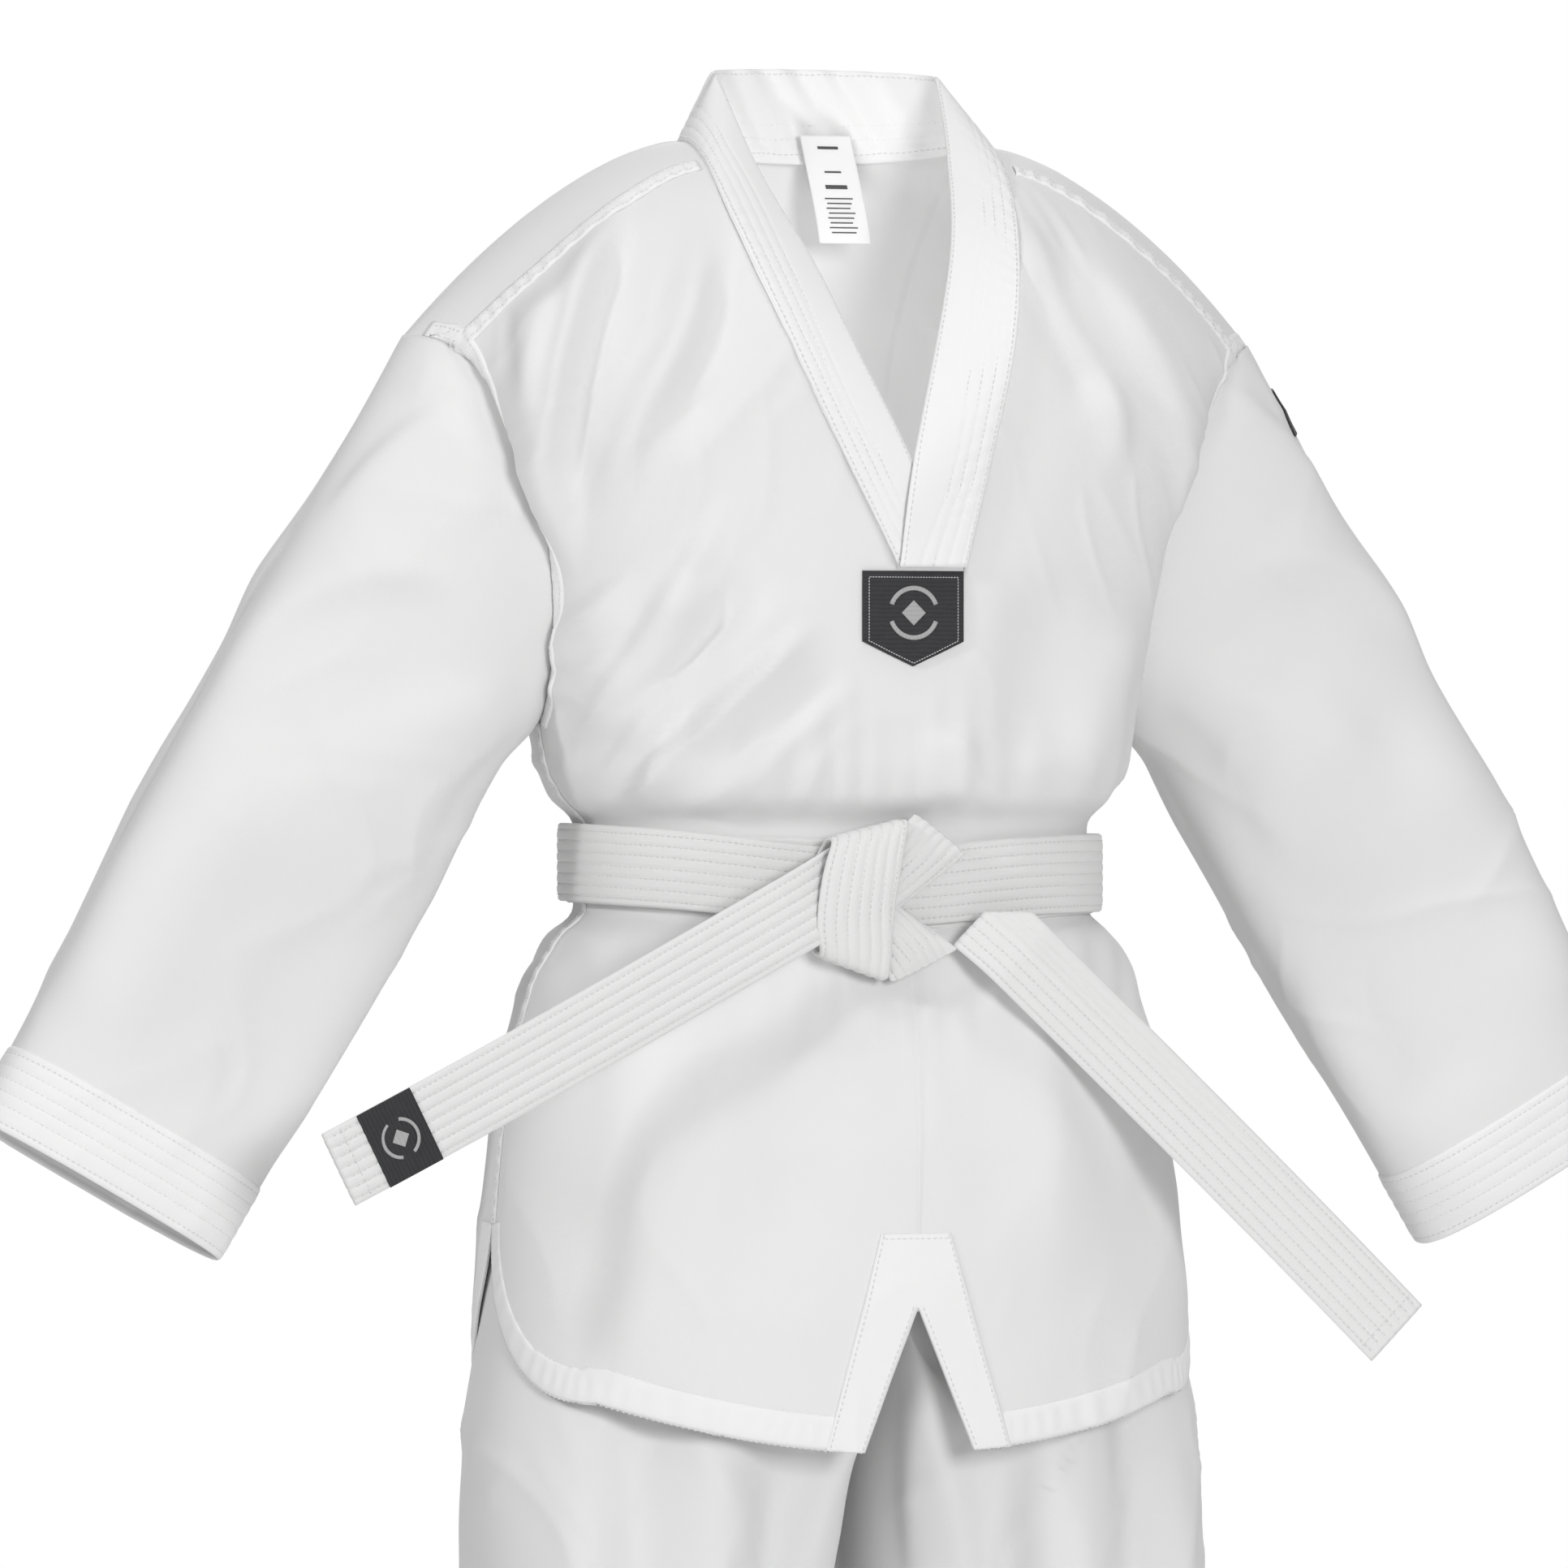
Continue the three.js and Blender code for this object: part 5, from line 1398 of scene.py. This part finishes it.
# %% [markdown]
# ### Knot
# In the knot one end goes up and over both wraps and comes down as a loop; the other end is folded
# through it. What shows is the loop, a folded corner above right and one below right. Each is a patch
# of belt between four corners, pushed out in its middle, with the stitch rows running along it.

# %% Knot pieces
KNOT_Y = -0.1215
LOOP_LEFT = [(-0.0405, -0.3945), (-0.0455, -0.4060), (-0.0490, -0.4210), (-0.0505, -0.4400),
             (-0.0475, -0.4560)]
LOOP_RIGHT = [(0.0035, -0.3840), (0.0000, -0.3960), (-0.0035, -0.4150), (-0.0065, -0.4340),
              (-0.0080, -0.4700)]


def loop_middle(rows=110, cols=50):
    """Round the knot: down its front between two curved edges, and up behind it."""
    a = np.linspace(0, 2 * math.pi, rows + 1)[:-1]
    down = (1 - np.cos(a)) / 2
    left, right = smooth_line(LOOP_LEFT, 60), smooth_line(LOOP_RIGHT, 60)
    at = np.linspace(0, 1, 60)
    share = np.linspace(0, 1, cols)[None]
    ends = [np.stack([np.interp(down, at, line[:, k]) for k in (0, 1)], -1) for line in (left, right)]
    flat = ends[0][:, None] + (ends[1] - ends[0])[:, None] * share[..., None]
    swell = 0.0115 * power(np.sin(a), 0.55)[:, None] * (1 + 0.16 * np.sin(math.pi * share))
    return np.stack([flat[..., 0], KNOT_Y - swell + 0 * share, flat[..., 1]], -1)


def patch_middle(corners, bulge, rows=60, cols=50):
    """A four-cornered patch: straight between its corners, plus a swell that is highest inside.
    corners are start-low, end-low, end-high, start-high; columns run from low to high."""
    s = np.linspace(0, 1, rows)[:, None, None]
    t = np.linspace(0, 1, cols)[None, :, None]
    p00, p10, p11, p01 = (np.array(c, float) for c in corners)
    flat = p00 * (1 - s) * (1 - t) + p10 * s * (1 - t) + p11 * s * t + p01 * (1 - s) * t
    swell = bulge * np.sin(math.pi * t) ** 0.7 * (1 - s ** 4)
    flat[..., 1] -= swell[..., 0]
    return flat


def patch(name, middle, nodes, closed=False):
    width = np.linalg.norm(np.diff(middle, axis=1), axis=2).sum(1).mean()
    rows = [width * (i + 0.6) / 7 for i in range(7)]
    thing = band(name, middle, BELT_WALL, belt_cloth, "jacket", rows, 0.0006, closed=closed)
    normal = surface_normals(middle, closed)
    if normal[len(middle) // 4, middle.shape[1] // 2, 1] > 0:
        normal = -normal
    columns = [int(round(r / width * (middle.shape[1] - 1))) for r in rows]
    lines = [stitch_line(middle, normal, k, BELT_STITCH_HEIGHT) for k in columns]
    stitch_rows(name + "_stitches", lines, "jacket")
    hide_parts(*nodes)


patch("belt_loop", loop_middle(), ["belt_knot_loop", "belt_knot_core"], closed=True)
patch("belt_fold_upper", patch_middle(
    [(-0.012, -0.119, -0.440), (0.0385, -0.1195, -0.4025),
     (0.0095, -0.1185, -0.3805), (-0.012, -0.118, -0.400)],
    0.0075), ["belt_knot_upper_fold"])
patch("belt_fold_lower", patch_middle(
    [(-0.016, -0.119, -0.452), (-0.0045, -0.1205, -0.4715),
     (0.0340, -0.1195, -0.4535), (-0.010, -0.119, -0.424)],
    0.0075), ["belt_knot_lower_fold"])
print("knot of 3 patches")


# %% [markdown]
# ### Belt ends
# The two ends hang from the knot, stiff enough to stay straight.

# %% Belt ends
TAIL_REACH = 0.294
TAIL_LEAN = math.radians(4.8)
TAILS = {
    "right": {"side": -1, "pivot": (-0.066, -0.132, -0.436), "swing": 63, "hidden": 0.046,
              "start": -0.046, "slant": 0.0},
    "left": {"side": 1, "pivot": (0.068, -0.132, -0.458), "swing": 45, "hidden": 0.030,
             "start": -0.034, "slant": 1.0},
}


def tail_axes(tail):
    """Along the belt end, across it and out of its face, turned by its swing and the lean."""
    swing = math.radians(tail["swing"]) * tail["side"]
    along = np.array([math.sin(swing) * math.cos(TAIL_LEAN), -math.sin(TAIL_LEAN),
                      -math.cos(swing) * math.cos(TAIL_LEAN)])
    across = np.array([math.cos(swing), 0, math.sin(swing)])
    return along, across, np.cross(across, along)


def tail_middle(tail, rows=170):
    """Straight along, with a slow bow and a slight twist towards the tip."""
    along, across, out = tail_axes(tail)
    wide = np.linspace(-0.5, 0.5, BELT_COLS)[None, :, None] * BELT_WIDTH
    start = np.maximum(-tail["hidden"], tail["start"] + tail["slant"] * wide)
    reach = start + (TAIL_REACH - start) * np.linspace(0, 1, rows)[:, None, None]
    share = np.clip(reach / TAIL_REACH, 0, 1)
    bow = 0.0030 * np.sin(math.pi * share * 1.3) * out
    sway = 0.0020 * np.sin(math.pi * share) * across
    twist = 0.05 * share ** 2 * wide * out
    inside = np.clip(-reach / tail["hidden"], 0, 1) ** 1.5 * 0.010 * np.array([0, 1, 0])
    return np.array(tail["pivot"]) + along * reach + across * wide + bow + sway + twist + inside


def belt_end(name, tail):
    middle = tail_middle(tail)
    node = f"belt_{name}_tail"
    thing = band(f"belt_end_{name}", middle, BELT_WALL, belt_cloth, None, BELT_ROWS, 0.0006)
    along = tail_axes(tail)[0]
    pivot = np.array(tail["pivot"])
    bend = ("jacket", node, tuple(pivot - along * 0.022), tuple(pivot + along * 0.022))
    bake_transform(thing)
    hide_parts(node)
    normal = surface_normals(middle)
    if normal[80, 30, 1] > 0:
        normal = -normal
    lines = []
    for sign in (1, -1):
        lines += [stitch_line(middle[:-2], sign * normal[:-2], k, BELT_STITCH_HEIGHT)
                  for k in stitch_columns]
    across_line = middle[-6, 2:-2]
    lines.append((across_line + normal[-6, 2:-2] * (BELT_WALL / 2), normal[-6, 2:-2]))
    stitch_rows(f"belt_end_{name}_stitches", lines, None, blend=bend)


for name, tail in TAILS.items():
    belt_end(name, tail)
print(len(TAILS), "belt ends")


# %% [markdown]
# ## Badges
# Three black badges carry no mark of any maker: on the chest badge and the belt-end badge a plain ring
# and a square on its corner stand where a mark would be. The chest badge is a thin plate with soft
# edges, and its border is a row of stitches; the other two are thin bands.

# %% Badge plates
BADGE_WALL = 0.0012


def plate(name, outline, place, across, up, out, body, material=None, wall=BADGE_WALL,
          dome=0.0):
    """A flat plate with soft edges: rings of its outline shrink towards its middle as they rise."""
    outline = np.asarray(outline, float)
    middle = outline.mean(0)
    rings = [(1.0, 0.0), (1.0, 0.6), (0.985, 0.9), (0.96, 1.0), (0.7, 1.0), (0.35, 1.0), (0.02, 1.0)]
    flat = np.array([middle + (outline - middle) * s for s, h in rings])
    high = np.array([[wall * h + dome * (1 - s ** 2)] * len(outline) for s, h in rings])
    points = np.asarray(place) + flat[..., :1] * np.asarray(across) + flat[..., 1:] * np.asarray(up) \
        + high[..., None] * np.asarray(out)
    faces = grid_faces(len(rings), len(outline), wrap=True).reshape(-1, 4)
    points = points.reshape(-1, 3)
    first, last = np.arange(len(outline)), len(points) - len(outline) + np.arange(len(outline))
    uv = flat.reshape(-1, 2)
    sides = faces_out(points, faces)
    thing = add_piece(name, points, sides, material or black_badge, uv, body)
    close_ends(thing.data, first, last)
    return thing


def close_ends(mesh, first, last):
    """Fills the two end rings of a plate with one face each, turned outwards."""
    work = bmesh.new()
    work.from_mesh(mesh)
    work.verts.ensure_lookup_table()
    for ring in (first, last):
        work.faces.new([work.verts[i] for i in ring])
    bmesh.ops.recalc_face_normals(work, faces=work.faces)
    work.to_mesh(mesh)
    work.free()


def dense(corners, step=0.002):
    """An outline with a point every couple of millimetres between its corners."""
    corners = np.asarray(corners, float)
    whole = np.vstack([corners, corners[:1]])
    parts = []
    for a, b in zip(whole[:-1], whole[1:]):
        count = max(1, int(np.linalg.norm(b - a) / step))
        parts.append(a + (b - a) * np.linspace(0, 1, count, endpoint=False)[:, None])
    return np.vstack(parts)


def mark(name, place, across, up, out, size, body):
    """A square on its corner inside a broken ring: a mark that belongs to nobody."""
    square = dense([(0, -size), (size, 0), (0, size), (-size, 0)])
    thing = plate(name + "_square", square * 0.55, place, across, up, out, body, material=grey_badge,
                  wall=0.0005)
    parts = [thing]
    for k, start in enumerate((20, 200)):
        a = np.radians(np.linspace(start, start + 140, 24))
        ring = np.concatenate([np.stack([np.cos(a), np.sin(a)], -1) * size * 1.18,
                               np.stack([np.cos(a), np.sin(a)], -1)[::-1] * size * 0.98])
        middle = np.stack([ring[:24], ring[24:][::-1]], 1)
        share = np.linspace(0, 1, 7)[None, :, None]
        flat = middle[:, :1] + (middle[:, 1:] - middle[:, :1]) * share
        points = np.asarray(place) + flat[..., :1] * np.asarray(across) + flat[..., 1:] * np.asarray(up) \
            + 0.0003 * np.asarray(out)
        parts.append(band(f"{name}_ring_{k}", points, 0.0008, grey_badge, body))
    return parts


# %% Chest badge
low, high = (np.array(corner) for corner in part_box("chest_patch"))
middle = (low + high) / 2
half, tall = (high[0] - low[0]) / 2, high[2] - low[2]
shield = [(-half, 0), (-half, -0.74 * tall), (-half * 0.55, -0.86 * tall), (0, -tall),
          (half * 0.55, -0.86 * tall), (half, -0.74 * tall), (half, 0)]
out = np.array([0.0, -1.0, 0.0])
across = np.array([1.0, 0.0, 0.0])
up = np.array([0.0, 0.0, 1.0])
top = np.array([middle[0], high[1] - 0.0002, high[2]])
chest_badge = plate("chest_badge", dense(shield), top, across, up, out, "jacket", wall=0.0014)
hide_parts("chest_patch")
border = dense([(x * 0.88, -0.0035 + z * 0.90) for x, z in shield], 0.001)
border_line = top + border[:, :1] * across + border[:, 1:] * up + out * 0.0015
stitch_rows("chest_badge_border", [(np.vstack([border_line, border_line[:1]]),
                                    np.tile(out, (len(border_line) + 1, 1)))], "jacket",
            {"pitch": 0.0016, "length": 0.0017, "wide": 0.00035, "high": 0.0003}, grey_thread)
mark("chest_mark", top + out * 0.0014 - up * 0.44 * tall, across, up, out, 0.0125, "jacket")
print("chest badge", round(2 * half, 4), "by", round(tall, 4))


# %% Belt-end badge and sleeve badge
tail = TAILS["right"]
along, sideways, face_out = tail_axes(tail)
if face_out[1] > 0:
    face_out = -face_out
BADGE_LONG = 0.017
BADGE_AT = TAIL_REACH - 0.039
patch_rows = np.linspace(BADGE_AT - BADGE_LONG, BADGE_AT + BADGE_LONG, 40)
full = tail_middle(tail, 400)
full_reach = np.linspace(-tail["hidden"], TAIL_REACH, 400)
rows = np.searchsorted(full_reach, patch_rows)
wrapped = full[rows] + face_out * (BELT_WALL / 2 + 0.0003)
belt_badge = band("belt_end_badge", wrapped, 0.0012, black_badge, "belt_right_tail")
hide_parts("belt_end_patch")
centre = wrapped[20, BELT_COLS // 2] + face_out * 0.0006
mark("belt_mark", centre, sideways, along, face_out, 0.0095, "belt_right_tail")

share = np.linspace(0, 1, 24)
badge_along = TIP_ALONG + 0.028 + 0.028 * share[:, None]
badge_turn = 0.30 - 0.46 * share[None] + 0.10 * share[:, None]
badge_middle = sleeve_skin(1, badge_along, badge_turn, 0.0006)[0]
sleeve_badge = band("sleeve_badge", badge_middle, 0.0010, black_badge)
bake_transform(sleeve_badge)
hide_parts("sleeve_emblem")
print("belt and sleeve badges")


# %% [markdown]
# ## Label
# The label hangs inside the nape from its top edge. It holds no words: grey bars stand where print
# would be.

# %% Neck label
low, high = (np.array(corner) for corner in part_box("neck_label"))
LABEL_LEAN = 0.012
rows, cols = 50, 24
t = np.linspace(0, 1, rows)[:, None]
s = np.linspace(0, 1, cols)[None]
x = low[0] - 0.001 + (high[0] - low[0]) * s + LABEL_LEAN * t
z = high[2] - (high[2] - low[2]) * t + 0 * s
y = (low[1] + high[1]) / 2 - 0.0035 * np.sin(math.pi * t) * t + 0.0009 * np.sin(math.pi * s + 1.2) * t
label = band("neck_label_cloth", np.stack([x, y, z], -1), 0.0007, label_satin, "label")
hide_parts("neck_label")
bars = [(0.10, 0.30, 0.70, 0.0016), (0.33, 0.34, 0.66, 0.0010), (0.46, 0.30, 0.72, 0.0022)]
bars += [(0.58 + 0.045 * i, 0.24 + 0.03 * (i % 2), 0.78 - 0.04 * (i % 3), 0.0007) for i in range(8)]
for i, (down, left, right, thick) in enumerate(bars):
    pieces_across = np.linspace(left, right, 12)
    rows_at = down + np.array([0, thick / (high[2] - low[2])])
    bx = low[0] - 0.001 + (high[0] - low[0]) * pieces_across[:, None] + LABEL_LEAN * rows_at[None]
    bz = high[2] - (high[2] - low[2]) * rows_at[None] + 0 * pieces_across[:, None]
    bt, bs = rows_at[None] + 0 * pieces_across[:, None], pieces_across[:, None] + 0 * rows_at[None]
    by = (low[1] + high[1]) / 2 - 0.0035 * np.sin(math.pi * bt) * bt \
        + 0.0009 * np.sin(math.pi * bs + 1.2) * bt - 0.00045
    grid = np.stack([bx, by, bz], -1)
    grid = np.concatenate([grid, grid + np.array([0, -0.0001, 0])], 1)[:, [0, 1, 3, 2]]
    flat_points = grid.reshape(-1, 3)
    faces = grid_faces(12, 4, wrap=True).reshape(-1, 4)
    add_piece(f"label_bar_{i}", flat_points, faces_out(flat_points, faces), label_ink,
              None, "label")
print("label with", len(bars), "bars")


# %% [markdown]
# ## Trousers
# Trousers are sewn from two halves, each one piece of cloth that goes round one hip and closes into
# a leg below the crotch. So each half here is one grid: above the crotch its columns run from the
# front seam round the hip to the back seam, and below they go on round the inside of the leg.

# %% Trouser shape
CROTCH_Z = -0.640
TROUSER_TOP_Z = -0.400
WAISTBAND = 0.040
LEG_PART = 0.003
TROUSER_HEM_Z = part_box("left_leg_hem")[0].z
LEG_HEM_BAND = 0.030
TROUSER_TABLE = np.array([
    (-0.440, 0.135, 0.0, 0.093, 0.085), (-0.480, 0.158, 0.0, 0.098, 0.097),
    (-0.560, 0.182, 0.0, 0.111, 0.107),
    (CROTCH_Z, 0.195, LEG_PART, 0.113, 0.110), (-0.665, 0.1975, 0.004, 0.112, 0.109),
    (-0.700, 0.203, 0.005, 0.109, 0.107), (-0.760, 0.206, 0.007, 0.105, 0.104),
    (-0.860, 0.206, 0.012, 0.100, 0.100),
    (-1.050, 0.202, 0.026, 0.090, 0.092), (TROUSER_HEM_Z, 0.198, 0.042, 0.076, 0.078),
])
trouser_table = rounded_table(TROUSER_TABLE, 0.040)
TROUSER_COLS = 150

LEG_SHARP = [
    ([(0.016, -0.655), (0.030, -0.700), (0.050, -0.770), (0.062, -0.850)], 0.0060, 0.014, 0.0030, 1),
    ([(0.012, -0.680), (0.020, -0.740), (0.028, -0.830)], 0.0050, 0.012, 0.0030, -1),
]
LEG_SOFT = [
    ([(0.100, -0.500), (0.104, -0.700), (0.112, -1.000)], 0.0050, 0.020),
    ([(0.150, -0.560), (0.148, -0.800), (0.150, -1.150)], -0.0045, 0.018),
    ([(0.060, -0.620), (0.072, -0.900), (0.085, -1.250)], -0.0050, 0.018),
    ([(0.030, -0.900), (0.050, -1.050), (0.060, -1.300)], 0.0045, 0.016),
    ([(0.130, -0.950), (0.135, -1.100), (0.140, -1.310)], 0.0055, 0.016),
    ([(0.175, -0.700), (0.180, -0.950), (0.175, -1.250)], 0.0035, 0.014),
]


def trouser_point(side, z, turn):
    """turn 0 is the outer edge; a quarter turn back or forward ends at the front or back seam."""
    z, turn = np.broadcast_arrays(z, turn)
    outer, inner, front, back = (np.interp(z, trouser_table[0], row) for row in trouser_table[1:])
    centre = inner + ((outer + inner) / 2 - inner) * soft((CROTCH_Z - z) / 0.160)
    reach = np.where(np.cos(turn) > 0, outer - centre, centre - inner)
    depth = np.where(np.sin(turn) < 0, front, back)
    x = centre + reach * power(np.cos(turn), OVAL)
    return np.stack([side * x, depth * power(np.sin(turn), OVAL), z], -1)


def trouser_skin(side, z, turn, lift=0.0):
    z, turn = np.broadcast_arrays(np.asarray(z, float), np.asarray(turn, float))
    point = trouser_point(side, z, turn)
    e = 3e-3
    around = trouser_point(side, z, turn + e) - trouser_point(side, z, turn - e)
    down = trouser_point(side, z - 2e-3, turn) - trouser_point(side, z + 2e-3, turn)
    normal = unit(-side * np.cross(around, down))
    places = np.stack([np.abs(point[..., 0]), point[..., 2]], -1).reshape(-1, 2)
    shift = np.where(point[..., 1].reshape(-1) > 0, 0.012, 0.0)
    places[:, 0] += shift + (0.006 if side < 0 else 0.0)
    total = unrest(places, 51 + side, 0.22, 0.0030) + hand_folds(places, LEG_SHARP, LEG_SOFT)
    total = total + creases(places, 91 + side, 0.05, 0.060, 0.0020, 0.15)
    gather = np.exp(-((z.reshape(-1) - TROUSER_TOP_Z + WAISTBAND) / 0.05) ** 2)
    total = total + gather * 0.0022 * np.sin(turn.reshape(-1) * 44)
    at_inside = soft((np.abs(point[..., 0]) - 0.006).reshape(-1) / 0.020)
    at_ends = soft((z.reshape(-1) - TROUSER_HEM_Z) / 0.06) * 0.7 + 0.3
    at_ends = at_ends * (0.15 + 0.85 * soft(((HEM_Z + 0.055 - z).reshape(-1)) / 0.05
                                            + 2 * (np.abs(point[..., 0]) < 0.09).reshape(-1)))
    height = (total * at_inside * at_ends).reshape(z.shape) + lift
    return point + normal * height[..., None], normal


def trouser_half(name, side):
    """Rows from the waistband to the leg hem; columns once round, inner ones without cloth above."""
    rows = 240
    z = np.linspace(TROUSER_TOP_Z - WAISTBAND + 0.001, TROUSER_HEM_Z + 0.002, rows)[:, None]
    turn = np.linspace(-math.pi, math.pi, TROUSER_COLS + 1)[None, :-1]
    points, normals = trouser_skin(side, z, turn)
    faces = grid_faces(rows, TROUSER_COLS, wrap=True)
    quarter = TROUSER_COLS // 4
    keep = np.ones(faces.shape[:2], bool)
    above = z[:-1, 0] > CROTCH_Z
    keep[above, :quarter] = False
    keep[above, TROUSER_COLS - quarter:] = False
    faces = faces[keep]
    flat_points = points.reshape(-1, 3)
    faces = faces_along(flat_points, faces, normals.reshape(-1, 3))
    cloth = add_piece(name, flat_points, faces, cotton, cloth_map(points), merge=SEAM_GAP,
                      wall=PANEL_WALL)
    leg = "left_leg" if side > 0 else "right_leg"
    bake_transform(cloth)
    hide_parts(leg, leg.replace("leg", "thigh"))
    return cloth


trousers = {name: trouser_half(f"{name}_trouser_half", side) for name, side in (("left", 1), ("right", -1))}
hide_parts("trouser_seat")
print("trouser halves", [len(t.data.polygons) for t in trousers.values()])


# %% Leg hems and waistband
LEG_HEM_WALL = 0.0028
WAISTBAND_WALL = 0.0032
WAISTBAND_HALF = 0.1345
WAISTBAND_DEPTHS = (0.0925, 0.0845)
LEG_HEM_STITCH_HEIGHT = 0.0012


def leg_hem(name, side):
    turn = np.linspace(0, 2 * math.pi, 161)[:-1, None]
    z = np.linspace(TROUSER_HEM_Z + LEG_HEM_BAND, TROUSER_HEM_Z, 22)[None]
    points, normals = trouser_skin(side, z, turn)
    body = name.replace("_hem_band", "")
    thing = band(name, points, LEG_HEM_WALL, facing_cloth, body, [0.003], 0.0004, closed=True)
    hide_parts(name.replace("_band", ""))
    stitch_rows(name + "_stitches", [stitch_line(points, normals, 2, LEG_HEM_STITCH_HEIGHT, ring=True)],
                body)


for side_name, side in (("left", 1), ("right", -1)):
    leg_hem(f"{side_name}_leg_hem_band", side)
print("leg hems")


def waistband():
    """An elastic band: sixty gathers, deeper between its three sewn channels."""
    turn = np.linspace(0, 2 * math.pi, 481)[:-1, None]
    share = np.linspace(0, 1, 26)[None]
    z = TROUSER_TOP_Z - WAISTBAND * share
    gather = 0.0011 * np.sin(turn * 60 + 1.5 * np.sin(turn * 7))
    gather = gather * (0.4 + 0.6 * np.abs(np.sin(4 * math.pi * share)))
    half = WAISTBAND_HALF - WAISTBAND_WALL / 2 + gather
    depth = np.where(np.sin(turn) < 0, *WAISTBAND_DEPTHS) - WAISTBAND_WALL / 2 + gather
    middle = np.stack([half * power(np.cos(turn), OVAL) + 0 * z, depth * power(np.sin(turn), OVAL) + 0 * z,
                       z + 0 * turn], -1)
    thing = band("waistband", middle, WAISTBAND_WALL, elastic_cloth, "trousers",
                 [0.010, 0.020, 0.030], 0.0004, closed=True)
    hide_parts("trouser_waistband")
    return thing


waist = waistband()
print("waistband", len(waist.data.polygons), "faces")


# %% [markdown]
# ## Cloth facts
# Each sheet's cloth area is printed.

# %% Sheets
def area_of(thing):
    mesh = thing.data
    areas = np.zeros(len(mesh.polygons))
    mesh.polygons.foreach_get("area", areas)
    return float(areas.sum())


for thing in (front_cloth, back_cloth, *sleeves.values(), *trousers.values()):
    print(thing.name, "cloth area", round(area_of(thing), 4))

# %% Floor
FLOOR_Z = TROUSER_HEM_Z - 0.005
FLOOR_HALF = 4.0
floor_material, floor_wire, floor_shader = start_material("floor_paper", 0.9)
spots = floor_wire.make("ShaderNodeTexNoise", {}, {"Scale": 3.0})
join(floor_wire, floor_shader, Base_Color=spots.blend((0.86, 0.86, 0.86, 1), (0.88, 0.88, 0.88, 1)))
floor_mesh = bpy.data.meshes.new("floor")
corners = [(-FLOOR_HALF, -FLOOR_HALF, FLOOR_Z), (FLOOR_HALF, -FLOOR_HALF, FLOOR_Z),
           (FLOOR_HALF, FLOOR_HALF, FLOOR_Z), (-FLOOR_HALF, FLOOR_HALF, FLOOR_Z)]
floor_mesh.from_pydata(corners, [], [(0, 1, 2, 3)])
floor_mesh.materials.append(floor_material)
floor = bpy.data.objects.new("floor", floor_mesh)
scene.collection.objects.link(floor)
print("floor at", round(FLOOR_Z, 3))
